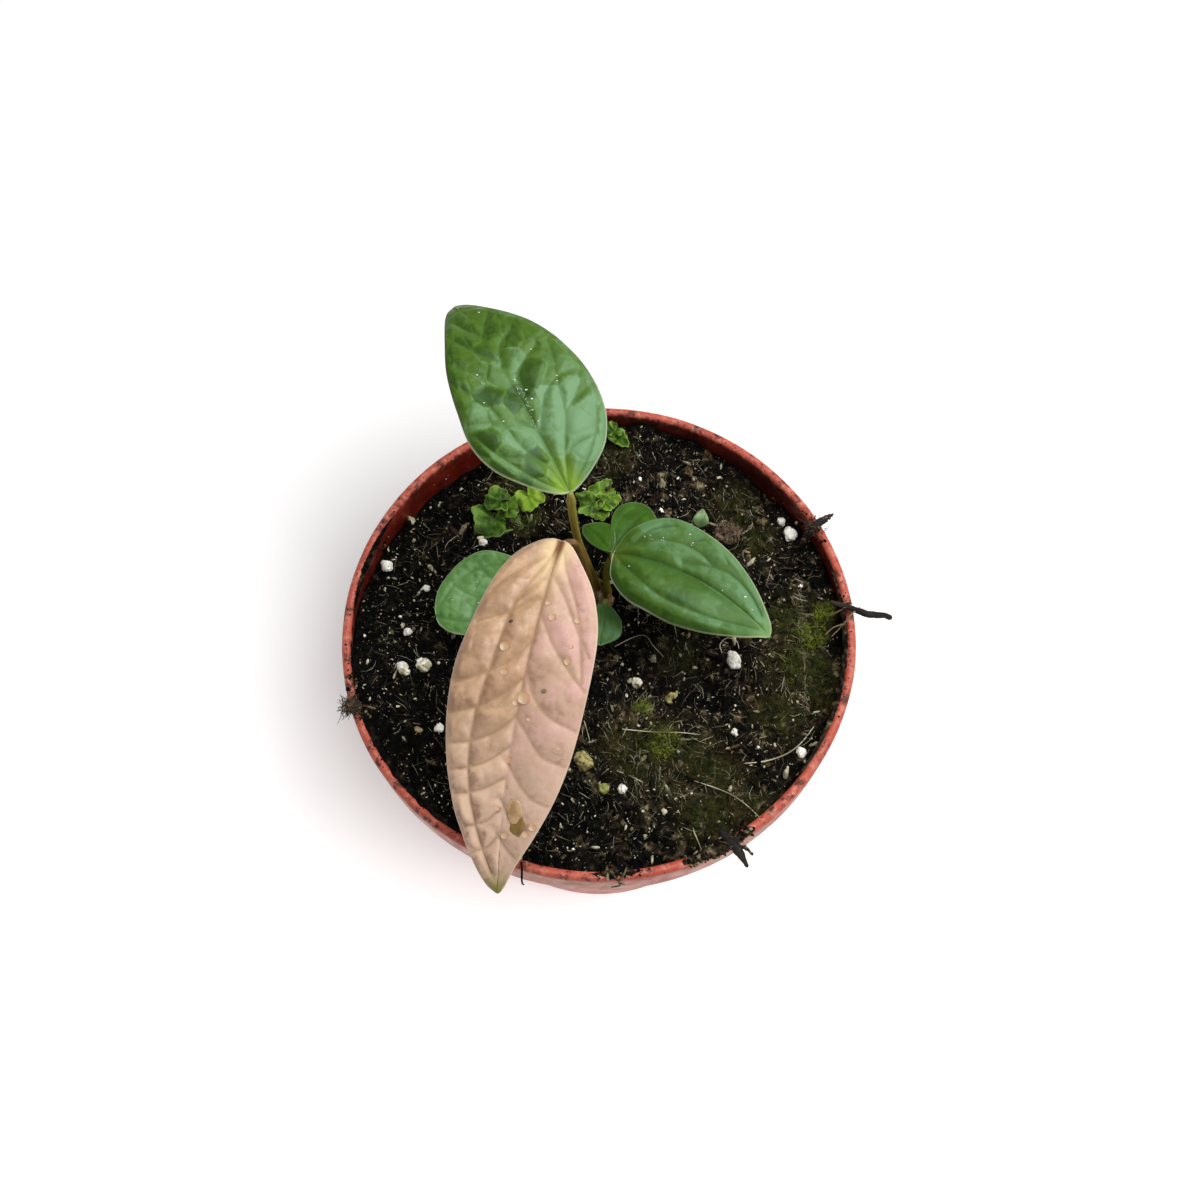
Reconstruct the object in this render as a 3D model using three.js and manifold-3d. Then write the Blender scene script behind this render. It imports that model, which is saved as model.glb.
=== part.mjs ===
import * as THREE from 'three';
import { mergeVertices } from 'three/addons/utils/BufferGeometryUtils.js';
import Module from 'manifold-3d';

// A young aroid in a 7 cm nursery pot: one quilted green leaf standing at the back, one bronze new
// leaf hanging over the front rim, one three-lobed leaf on the right and two low leaves, with weeds,
// perlite grains and scraps of bark on the soil. Millimetres, +Z up, -Y to the viewer, origin at the
// middle of the pot's base.

const wasm = await Module();
wasm.setup();

// Driving dimensions
const RIM_RADIUS = 35;
const POT_HEIGHT = 56;
const COLLAR_HEIGHT = 6.5;
const COLLAR_TAPER = 0.35;
const LIP_WIDTH = 1.4;
const WALL = 0.9;
const BODY_RADIUS = 33.3;
const BASE_RADIUS = 23.3;
const FLOOR = 2.0;
const FOOT_RADIUS = 20.6;
const HUB_RADIUS = 9.0;
const DRAIN_RECESS = 0.8;
const DRAIN_HOLES = 6;
const DRAIN_DIAMETER = 5.0;
const DRAIN_CIRCLE = 15.0;
const POT_SEGMENTS = 48;

// Rounding of the lip, of the collar's lower edge and of the base's edge
const LIP_ROUND = 0.6;
const COLLAR_EDGE = 0.3;
const BASE_ROUND = 0.8;

const GAP = 0.3;
const BLADE_THICKNESS = 0.6;
// Share of a blade's length at which its first and last cross-section lie
const FIRST_ROW = 0.02;
const LAST_ROW = 0.985;
// Forward slant of the lateral veins, and how steeply a pillow rises from the midrib
const VEIN_SLANT = 0.75;
const PILLOW_RISE = 0.7;
const SOIL_LEVEL = 53.2;
const CROWN = { x: -0.3, y: 5.6, top: 54.8, radius: 2.75, depth: 14 };

// Colours, as the photo shows them
const TERRACOTTA = 0xc8513c;
const SOIL_BROWN = 0x1d1612;
const LEAF_GREEN = 0x4d7a45;
const LEAF_PALE = 0x5c8f5e;
const BRONZE = 0xd1a385;
const STALK_OLIVE = 0x7d6a2c;
const ROOT_CREAM = 0xb9a684;
const WEED_GREEN = 0x55822f;
const PERLITE_WHITE = 0xe6e2d6;
const GRANULE_OCHRE = 0xb0a065;
const BARK_BROWN = 0x2c211a;

// Mounds and hollows of the soil along the wall: direction in degrees, height, half-width in degrees
const SOIL_MOUNDS = [
  [130, -3.4, 35],
  [188, 3.0, 14],
  [41, -1.8, 20],
  [78, 0.9, 15],
  [225, 0.8, 20],
  [320, 0.6, 25],
];
const SOIL_RADIUS = BODY_RADIUS - GAP;
const SOIL_EDGE = 1.2;
const CLODS = [
  { size: 3.4, height: 0.55, seed: 1 },
  { size: 1.7, height: 0.3, seed: 2 },
];

const lerp = THREE.MathUtils.lerp;
const degrees = THREE.MathUtils.degToRad;
const vector = (p) => new THREE.Vector3(...p);

// A repeatable number from 0 to 1 for each corner of a lattice
function latticeValue(i, j, seed) {
  const wave = Math.sin(i * 127.1 + j * 311.7 + seed * 74.7) * 43758.5453;
  return wave - Math.floor(wave);
}

// Smooth noise from -1 to 1 over the plane
function noise(x, y, seed) {
  const i = Math.floor(x);
  const j = Math.floor(y);
  const fx = (x - i) * (x - i) * (3 - 2 * (x - i));
  const fy = (y - j) * (y - j) * (3 - 2 * (y - j));
  const near = lerp(latticeValue(i, j, seed), latticeValue(i + 1, j, seed), fx);
  const far = lerp(latticeValue(i, j + 1, seed), latticeValue(i + 1, j + 1, seed), fx);
  return 2 * lerp(near, far, fy) - 1;
}

// Height of the soil without its clods
function soilLevel(x, y) {
  const radius = Math.hypot(x, y);
  const direction = THREE.MathUtils.radToDeg(Math.atan2(y, x));
  let z = SOIL_LEVEL;
  for (const [at, height, width] of SOIL_MOUNDS) {
    const turn = THREE.MathUtils.euclideanModulo(direction - at + 180, 360) - 180;
    z += height * Math.exp(-((turn / width) ** 2)) * (radius / SOIL_RADIUS) ** 2;
  }
  return z;
}

function soilTop(x, y) {
  return CLODS.reduce((z, c) => z + c.height * noise(x / c.size, y / c.size, c.seed), soilLevel(x, y));
}

// A closed skin over rings of points; the first and last ring are single points. Where mirrored
// says so, a cell is split along its other diagonal, so that both faces of a blade split alike.
function skin(rings, mirrored = () => false) {
  const starts = [];
  let count = 0;
  for (const ring of rings) {
    starts.push(count);
    count += ring.length;
  }
  const index = [];
  for (let i = 0; i + 1 < rings.length; i++) {
    const sides = Math.max(rings[i].length, rings[i + 1].length);
    for (let j = 0; j < sides; j++) {
      const a = starts[i] + (j % rings[i].length);
      const b = starts[i] + ((j + 1) % rings[i].length);
      const c = starts[i + 1] + (j % rings[i + 1].length);
      const d = starts[i + 1] + ((j + 1) % rings[i + 1].length);
      if (mirrored(i, j)) {
        index.push(a, b, c, b, d, c);
      } else {
        index.push(a, b, d, a, d, c);
      }
    }
  }
  const geometry = new THREE.BufferGeometry().setFromPoints(rings.flat());
  geometry.setIndex(index);
  return geometry;
}

// A manifold solid from a closed geometry, faces turned outwards
function solid(geometry) {
  const shape = geometry.clone();
  shape.deleteAttribute('normal');
  shape.deleteAttribute('uv');
  const merged = mergeVertices(shape, 1e-4);
  const position = merged.getAttribute('position');
  const [a, b, c] = [new THREE.Vector3(), new THREE.Vector3(), new THREE.Vector3()];
  const triangles = [];
  let volume = 0;
  for (let i = 0; i < merged.index.count; i += 3) {
    const corners = [0, 1, 2].map((k) => merged.index.getX(i + k));
    if (new Set(corners).size === 3) {
      triangles.push(corners);
      a.fromBufferAttribute(position, corners[0]);
      b.fromBufferAttribute(position, corners[1]);
      c.fromBufferAttribute(position, corners[2]);
      volume += a.dot(b.cross(c));
    }
  }
  const triVerts = new Uint32Array(triangles.flatMap(([p, q, r]) => (volume > 0 ? [p, q, r] : [p, r, q])));
  const vertProperties = new Float32Array(position.array);
  return new wasm.Manifold(new wasm.Mesh({ numProp: 3, vertProperties, triVerts }));
}

// The largest single body of a solid: crumbs that a cut leaves loose are dropped
function largest(shape) {
  return shape.decompose().sort((p, q) => q.volume() - p.volume())[0];
}

function join(...shapes) {
  return shapes.reduce((all, shape) => all.add(shape));
}

// A rod along a smooth curve through points, its radius running through radii
function rod(points, radii, sides, steps, grow = 0) {
  const curve = new THREE.CatmullRomCurve3(points.map(vector));
  const frames = curve.computeFrenetFrames(steps, false);
  const rings = [];
  for (let i = 0; i <= steps; i++) {
    const at = (i / steps) * (radii.length - 1);
    const k = Math.min(Math.floor(at), radii.length - 2);
    const radius = lerp(radii[k], radii[k + 1], at - k) + grow;
    const along = i === 0 ? -grow : i === steps ? grow : 0;
    const centre = curve.getPointAt(i / steps).addScaledVector(frames.tangents[i], along);
    const ring = [];
    for (let j = 0; j < sides; j++) {
      const angle = (2 * Math.PI * j) / sides;
      ring.push(centre.clone()
        .addScaledVector(frames.normals[i], radius * Math.cos(angle))
        .addScaledVector(frames.binormals[i], radius * Math.sin(angle)));
    }
    rings.push(ring);
    if (i === 0) rings.unshift([centre]);
    if (i === steps) rings.push([centre]);
  }
  return solid(skin(rings));
}

// A leaf blade laid along its midrib. A margin lists points (u along the midrib, v across it) from
// the leaf's base to its tip. Across, the blade rises from the midrib by fold and sinks to the
// margins by droop; between the lateral veins, pitch apart, it is quilted.
class Blade {
  constructor({ rib, left, right, fold, droop, quilt, pitch }) {
    Object.assign(this, { fold, droop, quilt, pitch });
    this.rib = new THREE.CubicBezierCurve3(...rib.map(vector));
    this.length = this.rib.getLength();
    const curve = (margin) => new THREE.SplineCurve(
      [[0, 0], ...margin, [this.length, 0]].map(([u, v]) => new THREE.Vector2(u, v)));
    this.margins = [curve(left), curve(right)];
  }

  point(u, v) {
    const at = THREE.MathUtils.clamp(u / this.length, 0, 1);
    const along = this.rib.getTangentAt(at);
    const side = along.clone().cross(new THREE.Vector3(0, 0, 1)).normalize();
    const normal = side.clone().cross(along);
    const lift = this.fold * Math.abs(v) - this.droop * v * v + this.quilting(u, v);
    return this.rib.getPointAt(at)
      .addScaledVector(along, u - at * this.length)
      .addScaledVector(side, v)
      .addScaledVector(normal, lift);
  }

  // Pillows between lateral veins that run forward from the midrib
  quilting(u, v) {
    const across = Math.min(Math.abs(v) / this.halfWidth(), 1);
    const vein = (u - VEIN_SLANT * Math.abs(v)) / this.pitch;
    return this.quilt * Math.abs(Math.sin(Math.PI * vein)) * Math.sin(Math.PI * across ** PILLOW_RISE);
  }

  halfWidth() {
    this.reach ??= Math.max(...this.margins.flatMap((m) => m.points.map((p) => Math.abs(p.y))));
    return this.reach;
  }

  solid(rows, cells) {
    const step = 0.05;
    const rings = [];
    for (let i = 0; i <= rows; i++) {
      const s = lerp(FIRST_ROW, LAST_ROW, i / rows);
      const top = [];
      const bottom = [];
      for (let c = 0; c <= cells; c++) {
        const q = (2 * c) / cells - 1;
        const margin = this.margins[q < 0 ? 0 : 1].getPointAt(s);
        const u = lerp(s * this.length, margin.x, Math.abs(q));
        const v = margin.y * Math.abs(q);
        const alongSurface = this.point(u + step, v).sub(this.point(u - step, v));
        const acrossSurface = this.point(u, v + step).sub(this.point(u, v - step));
        const normal = acrossSurface.cross(alongSurface).normalize();
        const middle = this.point(u, v);
        top.push(middle.clone().addScaledVector(normal, BLADE_THICKNESS / 2));
        bottom.unshift(middle.clone().addScaledVector(normal, -BLADE_THICKNESS / 2));
      }
      rings.push([...top, ...bottom]);
    }
    const middle = cells / 2;
    const cap = (ring) => [ring[middle].clone().add(ring[ring.length - 1 - middle]).multiplyScalar(0.5)];
    const bottomCell = (i, j) => j > cells;
    return solid(skin([cap(rings[0]), ...rings, cap(rings[rings.length - 1])], bottomCell));
  }
}

// A rough grain: an icosahedron pushed in and out, stretched and turned; small ones have fewer faces
const GRAIN_ROUGHNESS = 0.16;
const SMALL_GRAIN = 1.35;

function grain(x, y, z, size, seed, grow = 0) {
  const geometry = new THREE.IcosahedronGeometry(1, Math.max(...size) > SMALL_GRAIN ? 1 : 0);
  geometry.deleteAttribute('normal');
  geometry.deleteAttribute('uv');
  const position = geometry.getAttribute('position');
  const p = new THREE.Vector3();
  for (let i = 0; i < position.count; i++) {
    p.fromBufferAttribute(position, i);
    const bump = 1 + GRAIN_ROUGHNESS * noise(2.3 * p.x + 7 * p.z, 2.3 * p.y, seed);
    position.setXYZ(i, p.x * (bump * size[0] / 2 + grow), p.y * (bump * size[1] / 2 + grow),
      p.z * (bump * size[2] / 2 + grow));
  }
  geometry.rotateZ(seed * 1.7);
  geometry.translate(x, y, z);
  return solid(geometry);
}

// A flat lobed plant body hugging the soil, wavy and curling up outwards, with a root plug under it
const THALLUS = { thickness: 0.7, wave: 0.3, waveLength: 1.3, curl: 0.03, plugDepth: 3, plugRadius: 0.7 };

function thallus({ at, lobes, body, lift }, grow = 0) {
  const [x0, y0] = at;
  const sides = 30;
  const steps = 3;
  const half = THALLUS.thickness / 2 + grow;
  const ground = soilLevel(x0, y0) + lift;
  const reach = (angle) => lobes.reduce((r, [direction, length, width]) => {
    const turn = THREE.MathUtils.euclideanModulo(angle - degrees(direction) + Math.PI, 2 * Math.PI) - Math.PI;
    return Math.max(r, body + (length - body) * Math.exp(-((turn / degrees(width)) ** 4)));
  }, body) + grow;
  const height = (x, y) => ground + soilLevel(x, y) - soilLevel(x0, y0)
    + THALLUS.wave * noise(x / THALLUS.waveLength, y / THALLUS.waveLength, 5)
    + THALLUS.curl * ((x - x0) ** 2 + (y - y0) ** 2);
  const ring = (k, side) => Array.from({ length: sides }, (_, j) => {
    const angle = (2 * Math.PI * j) / sides;
    const r = (reach(angle) * k) / steps;
    const x = x0 + r * Math.cos(angle);
    const y = y0 + r * Math.sin(angle);
    return new THREE.Vector3(x, y, height(x, y) + side * half);
  });
  const middle = (side) => [new THREE.Vector3(x0, y0, height(x0, y0) + side * half)];
  const outwards = [1, 2, 3];
  const top = outwards.map((k) => ring(k, 1));
  const under = outwards.map((k) => ring(k, -1)).reverse();
  const rings = [middle(1), ...top, ...under, middle(-1)];
  const plate = solid(skin(rings, (i) => i > steps));
  const { plugDepth, plugRadius } = THALLUS;
  const plug = rod([[x0, y0, ground], [x0, y0, ground - plugDepth]],
    [plugRadius, 0.7 * plugRadius], 8, 2, grow);
  return join(plate, plug);
}

// A flat round leaf of a seedling
function roundLeaf(x, y, z, size, grow = 0) {
  const geometry = new THREE.SphereGeometry(1, 12, 6);
  geometry.rotateX(Math.PI / 2);
  geometry.scale(size[0] / 2 + grow, size[1] / 2 + grow, size[2] / 2 + grow);
  geometry.translate(x, y, z);
  return solid(geometry);
}

const plant = new THREE.Group();

function addPart(name, shape, color, roughness) {
  const { vertProperties, triVerts } = largest(shape).getMesh();
  const geometry = new THREE.BufferGeometry();
  geometry.setAttribute('position', new THREE.BufferAttribute(vertProperties, 3));
  geometry.setIndex(new THREE.BufferAttribute(triVerts, 1));
  geometry.computeVertexNormals();
  const material = new THREE.MeshStandardMaterial({ color, roughness, metalness: 0 });
  const mesh = new THREE.Mesh(geometry, material);
  mesh.name = name;
  plant.add(mesh);
}

// The pot: a tapered body, a collar with a rounded lip, a footed base with drain holes
function pot() {
  const rim = RIM_RADIUS;
  const collarFoot = POT_HEIGHT - COLLAR_HEIGHT;
  const lipInside = rim - LIP_WIDTH;
  const profile = [
    [0, 0],
    [HUB_RADIUS, 0],
    [HUB_RADIUS + DRAIN_RECESS, DRAIN_RECESS],
    [FOOT_RADIUS - DRAIN_RECESS, DRAIN_RECESS],
    [FOOT_RADIUS, 0],
    [BASE_RADIUS - BASE_ROUND, 0],
    [BASE_RADIUS, BASE_ROUND],
    [BODY_RADIUS, collarFoot],
    [rim - COLLAR_TAPER - COLLAR_EDGE / 2, collarFoot],
    [rim - COLLAR_TAPER, collarFoot + COLLAR_EDGE],
    [rim, POT_HEIGHT - LIP_ROUND],
    [rim - 0.4 * LIP_ROUND, POT_HEIGHT - 0.2 * LIP_ROUND],
    [rim - LIP_WIDTH / 2, POT_HEIGHT],
    [lipInside + 0.4 * LIP_ROUND, POT_HEIGHT - 0.2 * LIP_ROUND],
    [lipInside, POT_HEIGHT - LIP_ROUND],
    [BODY_RADIUS + 0.2, collarFoot + COLLAR_EDGE],
    [BODY_RADIUS - WALL, collarFoot - WALL],
    [BASE_RADIUS - WALL, FLOOR + BASE_ROUND],
    [BASE_RADIUS - WALL - BASE_ROUND, FLOOR],
    [0, FLOOR],
  ];
  const shell = new THREE.LatheGeometry(profile.map(([r, z]) => new THREE.Vector2(r, z)), POT_SEGMENTS);
  shell.rotateX(Math.PI / 2);
  let body = solid(shell);
  for (let i = 0; i < DRAIN_HOLES; i++) {
    const angle = (2 * Math.PI * (i + 0.5)) / DRAIN_HOLES;
    const drill = new THREE.CylinderGeometry(DRAIN_DIAMETER / 2, DRAIN_DIAMETER / 2, 3 * FLOOR, 16);
    drill.rotateX(Math.PI / 2);
    drill.translate(DRAIN_CIRCLE * Math.cos(angle), DRAIN_CIRCLE * Math.sin(angle), FLOOR / 2);
    body = body.subtract(solid(drill));
  }
  return body;
}

// The soil fills the pot a gap inside its wall; its top is a height field over rings
function soil() {
  const sides = 52;
  const steps = 18;
  const collarFoot = POT_HEIGHT - COLLAR_HEIGHT;
  const around = (radius, height) => Array.from({ length: sides }, (_, j) => {
    const angle = (2 * Math.PI * j) / sides;
    const x = radius * Math.cos(angle);
    const y = radius * Math.sin(angle);
    return new THREE.Vector3(x, y, height(x, y));
  });
  const rings = [[new THREE.Vector3(0, 0, soilTop(0, 0))]];
  for (let i = 1; i <= steps; i++) {
    rings.push(around((SOIL_RADIUS * i) / steps, soilTop));
  }
  const bodyTop = BODY_RADIUS - WALL - GAP;
  const bodyFoot = BASE_RADIUS - WALL - GAP;
  rings.push(around(bodyTop, () => collarFoot - WALL));
  rings.push(around(bodyFoot, () => FLOOR + SOIL_EDGE));
  rings.push(around(bodyFoot - SOIL_EDGE, () => FLOOR + GAP));
  rings.push([new THREE.Vector3(0, 0, FLOOR + GAP)]);
  return solid(skin(rings));
}

// The short stem under the leaf stalks, with roots running out and down from it
const ROOTS = [
  { turn: 20, drop: 13, reach: 11 },
  { turn: 85, drop: 20, reach: 9 },
  { turn: 150, drop: 12, reach: 13 },
  { turn: 205, drop: 22, reach: 8 },
  { turn: 265, drop: 14, reach: 14 },
  { turn: 325, drop: 24, reach: 12 },
];

function stemAndRoots(grow = 0) {
  const { x, y, top, radius, depth } = CROWN;
  const stem = rod([[x, y, top], [x, y, top - depth / 2], [x, y, top - depth]],
    [radius, radius, 1.2], 14, 4, grow);
  const roots = ROOTS.map(({ turn, drop, reach }, i) => {
    const [dx, dy] = [Math.cos(degrees(turn)), Math.sin(degrees(turn))];
    const from = top - 5 - (i % 3) * 2;
    const bend = degrees(turn + (i % 2 ? 25 : -25));
    return rod([
      [x + dx, y + dy, from],
      [x + 0.5 * reach * dx, y + 0.5 * reach * dy, from - 0.25 * drop],
      [x + reach * Math.cos(bend), y + reach * Math.sin(bend), from - drop],
    ], [0.75, 0.6, 0.4], 6, 5, grow);
  });
  return join(stem, ...roots);
}

// Leaf stalks, each from the crown to just short of its blade
const STALK_FOOT = CROWN.top + GAP;
const STALKS = {
  petiole_upper: {
    points: [[-0.6, 7.0, STALK_FOOT], [-1.35, 6.9, 60], [-2.1, 6.6, 65.5], [-2.75, 6.2, 71],
      [-3.25, 6.05, 78],
      [-3.45, 5.95, 83.3]],
    radii: [0.88, 0.75, 0.62, 0.55, 0.55, 0.62],
    steps: 12,
  },
  petiole_bronze: {
    points: [[-0.9, 4.9, STALK_FOOT], [-1.5, 4.9, 61.5], [-2.4, 4.5, 68], [-2.95, 4.2, 73],
      [-3.25, 4.4, 75.6],
      [-3.9, 4.45, 76.5], [-4.45, 3.9, 76.4]],
    radii: [0.88, 0.72, 0.62, 0.58, 0.58, 0.55, 0.5],
    steps: 14,
  },
  petiole_right: {
    points: [[1.15, 6.0, STALK_FOOT], [1.0, 6.6, 58.5], [1.25, 7.0, 61.3], [1.8, 7.2, 63.2]],
    radii: [0.7, 0.55, 0.5, 0.5],
    steps: 8,
  },
  petiole_low_left: {
    points: [[-2.3, 6.1, STALK_FOOT], [-3.6, 6.6, 56.6], [-5.6, 7.1, 57.4], [-7.55, 7.65, 57.9]],
    radii: [0.6, 0.5, 0.45, 0.42],
    steps: 7,
  },
  petiole_low_front: {
    points: [[0.95, 4.1, STALK_FOOT], [0.95, 4.0, 55.8], [0.8, 3.75, 56.4]],
    radii: [0.5, 0.42],
    steps: 3,
  },
};

// Leaf blades: midrib as a cubic curve, margins as (u, v) points from base to tip
const UPPER_BLADE = {
  rib: [[-3.5, 6.0, 84], [-8.2, 14.5, 88.5], [-14.2, 24.5, 90.5], [-18.5, 32.1, 85]],
  left: [[0.5, -1.5], [2.6, -4.1], [6.2, -7], [10.5, -8.1], [15.3, -7.5], [20.7, -6.1], [26.5, -3.1],
    [30.4, -0.8]],
  right: [[0.1, 1.1], [1.4, 3.8], [3.7, 6.9], [7.4, 8.9], [12.2, 9.5], [17.7, 8.6], [22.6, 6.6],
    [27, 3.8], [30, 1.4]],
  fold: 0.2,
  droop: 0.022,
  quilt: 0.45,
  pitch: 4.6,
};
const BRONZE_BLADE = {
  rib: [[-4.6, 3.3, 76.5], [-7.4, -8, 79.5], [-11.9, -24, 74], [-12.6, -37.5, 60]],
  left: [[0.3, 1.4], [1.5, 3.1], [4.4, 5.5], [9, 7.1], [13.9, 8.1], [18.6, 8.8], [24.5, 8.6],
    [30.8, 7.5], [36.6, 5.7],
    [41.8, 3.4], [45.4, 1.3]],
  right: [[0.7, -1.4], [3.5, -3.6], [7.3, -6.1], [12.4, -7.7], [19.5, -8], [26.8, -7.6], [32.7, -6.4],
    [37.8, -4.5],
    [42.8, -2], [45.6, -0.7]],
  fold: 0.22,
  droop: 0.028,
  quilt: 0.4,
  pitch: 5.2,
};
const RIGHT_BLADE = {
  rib: [[1.9, 7.3, 64.5], [9, 5.5, 66.5], [17, 1, 66], [22.4, -4.6, 63.5]],
  left: [[0.4, -1.1], [1.6, -3.7], [3.7, -5.7], [6.1, -6.8], [9.2, -6.7], [12.9, -5.9], [16.9, -4.5],
    [20.6, -2.7],
    [23.3, -1.2]],
  right: [[0.1, 1.2], [0.9, 4], [3.7, 6], [7.8, 6.7], [12.5, 6.7], [17.1, 5.6], [20.9, 3.5], [23.3, 1.1]],
  fold: 0.18,
  droop: 0.03,
  quilt: 0.25,
  pitch: 4.2,
};
const ROUND_LOBE = {
  rib: [[1.9, 7.5, 64.3], [2.6, 9.6, 63.9], [4.4, 12.4, 63.2], [7.2, 15.2, 61.8]],
  left: [[1.3, -0.7], [3.5, -2.2], [5.9, -3.2], [8, -2.8], [9.4, -1.4]],
  right: [[0.6, 1.3], [2.5, 3], [5.5, 3.8], [8.3, 2.7]],
  fold: 0.1,
  droop: 0.02,
  quilt: 0.1,
  pitch: 3,
};
const BACK_LOBE = {
  rib: [[1.8, 7.5, 64.2], [0.6, 9, 63.8], [-0.7, 10.8, 63.3], [-2.1, 12.3, 62.6]],
  left: [[0.6, -0.5], [1.8, -1], [3.6, -1.3], [5.4, -1]],
  right: [[0.6, 1], [2.4, 2.4], [4, 2.6], [5.4, 1.6]],
  fold: 0.1,
  droop: 0.02,
  quilt: 0.1,
  pitch: 3,
};
const LOW_LEFT_BLADE = {
  rib: [[-8.0, 7.5, 58], [-12, 5.5, 59], [-17, 3, 59], [-22.1, 1.1, 57.5]],
  left: [[0.4, -1.5], [3, -4.6], [7, -5.8], [11, -5.2], [14, -3.7], [15.5, -1.6]],
  right: [[0.6, 1.3], [2.8, 3.9], [4.9, 5.8], [7, 6.3], [10.1, 5.8], [13.5, 3.9], [15.2, 1.6]],
  fold: 0.1,
  droop: 0.018,
  quilt: 0.2,
  pitch: 3.6,
};
const LOW_FRONT_BLADE = {
  rib: [[0.75, 3.3, 56.7], [0.6, 1.4, 57.2], [0.3, -0.8, 57], [0.2, -2.8, 56.3]],
  left: [[0.5, 1.1], [1.9, 2.3], [3.4, 2.8], [5, 2.2]],
  right: [[0.5, -1.1], [1.9, -2.3], [3.4, -2.8], [5, -2.4]],
  fold: 0.1,
  droop: 0.03,
  quilt: 0.12,
  pitch: 2.6,
};

// Weeds: middle, lobes as (direction, reach, half-width in degrees), radius of the body between them
const LIVERWORT_LEFT = {
  at: [-15.0, 20.2],
  lobes: [[200, 3.9, 22], [255, 2.9, 26], [310, 3.2, 24], [350, 2.6, 22], [28, 5.2, 17],
    [75, 2.8, 24], [140, 3.0, 26]],
  body: 1.9,
  lift: 0.75,
};
const LIVERWORT_BACK = {
  at: [-0.2, 21.0],
  lobes: [[65, 4.0, 18], [14, 3.9, 17], [335, 3.1, 18], [285, 3.2, 22], [235, 3.0, 24],
    [180, 3.1, 26], [120, 3.0, 26]],
  body: 2.2,
  lift: 0.8,
};

// A seedling of two round leaves on one short stalk
function seedling(grow = 0) {
  const [x, y] = [2.3, 31.0];
  const ground = soilLevel(x, y);
  const stalk = rod([[x, y, ground - 3], [x, y, ground], [x, y, ground + 1.4]], [0.4, 0.4], 8, 3, grow);
  return join(stalk, roundLeaf(x + 0.7, y - 0.7, ground + 1.4, [2.4, 2.2, 0.8], grow),
    roundLeaf(x - 0.4, y + 1.0, ground + 1.6, [1.5, 2.0, 0.8], grow));
}

// A sprout with one upright leaf
function sprout(grow = 0) {
  const [x, y] = [14.6, 17.6];
  const ground = soilLevel(x, y);
  const stalk = rod([[x, y, ground - 3], [x, y, ground], [x, y, ground + 1.8]], [0.4, 0.4], 8, 3, grow);
  return join(stalk, roundLeaf(x, y + 0.3, ground + 1.9, [2.2, 3.2, 0.9], grow));
}

// Perlite grains and granules: place on the soil, size, how far the middle sits above the soil
const GRAINS = [
  { name: 'perlite_01', at: [27.1, 16.0], size: [2.3, 1.6, 1.5], up: 0.5 },
  { name: 'perlite_02', at: [18.5, -3.9], size: [1.9, 2.3, 1.4], up: 0.5 },
  { name: 'perlite_03', at: [26.9, -17.2], size: [1.6, 1.5, 1.3], up: 0.4 },
  { name: 'perlite_04', at: [5.2, -7.1], size: [1.7, 1.6, 1.3], up: 0.5 },
  { name: 'perlite_05', at: [-26.5, -5.7], size: [2.0, 1.5, 1.3], up: 0.4 },
  { name: 'perlite_06', at: [-23.7, -5.0], size: [2.0, 1.8, 1.4], up: 0.4 },
  { name: 'perlite_07', at: [-29.9, 11.2], size: [1.8, 1.6, 1.4], up: 0.4 },
  { name: 'perlite_08', at: [3.1, -22.2], size: [1.3, 1.3, 1.1], up: 0.4 },
  { name: 'perlite_09', at: [18.3, -14.2], size: [1.2, 1.1, 1.0], up: 0.3 },
  { name: 'perlite_10', at: [26.1, 18.3], size: [1.3, 1.2, 1.1], up: 0.3 },
  { name: 'perlite_11', at: [-24.1, 7.3], size: [1.2, 1.1, 1.0], up: 0.3 },
  { name: 'perlite_12', at: [-21.4, -13.8], size: [1.4, 1.3, 1.1], up: 0.4 },
  { name: 'perlite_13', at: [-26.2, 0.2], size: [1.2, 1.1, 1.0], up: 0.4 },
  { name: 'perlite_14', at: [-16.5, 14.8], size: [1.3, 1.2, 1.0], up: 0.4 },
  { name: 'perlite_15', at: [28.0, 7.4], size: [1.2, 1.1, 1.0], up: 0.3 },
  { name: 'perlite_16', at: [8.7, 19.2], size: [1.1, 1.0, 1.0], up: 0.3 },
  { name: 'granule_front', at: [-2.1, -18.3], size: [2.2, 3.0, 1.8], up: 0.6, color: GRANULE_OCHRE },
  { name: 'granule_small', at: [0.7, -22.0], size: [1.5, 1.5, 1.3], up: 0.4, color: GRANULE_OCHRE },
  { name: 'granule_chip', at: [9.9, -9.0], size: [2.6, 1.4, 1.0], up: 0.4, color: GRANULE_OCHRE },
];

function looseGrain({ at, size, up }, seed, grow = 0) {
  const [x, y] = at;
  return grain(x, y, soilLevel(x, y) + up, size, seed, grow);
}

// Scraps lying on the soil and over the rim
function twigRight(grow = 0) {
  const level = POT_HEIGHT + GAP + 0.65;
  return rod([[31.2, 3.4, level + 0.2], [34.4, 2.5, level + 0.1], [37, 1.6, level + 0.1],
    [40, 0.9, level + 0.5]],
    [0.35, 0.6, 0.55, 0.3], 7, 8, grow);
}

function barkBackRight(grow = 0) {
  return grain(30.9, 16.2, POT_HEIGHT + GAP + 0.72, [3.0, 1.5, 1.2], 31, grow);
}

function barkLeft(grow = 0) {
  return grain(-33.0, -11.6, POT_HEIGHT + GAP + 0.68, [2.4, 3.0, 1.1], 32, grow);
}

function barkFrontRight(grow = 0) {
  return rod([[16.0, -29.2, POT_HEIGHT + 1.1], [17.6, -31.0, POT_HEIGHT + 1.2],
    [18.9, -32.8, POT_HEIGHT + 0.95]],
    [0.5, 0.62, 0.35], 7, 6, grow);
}

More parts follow.
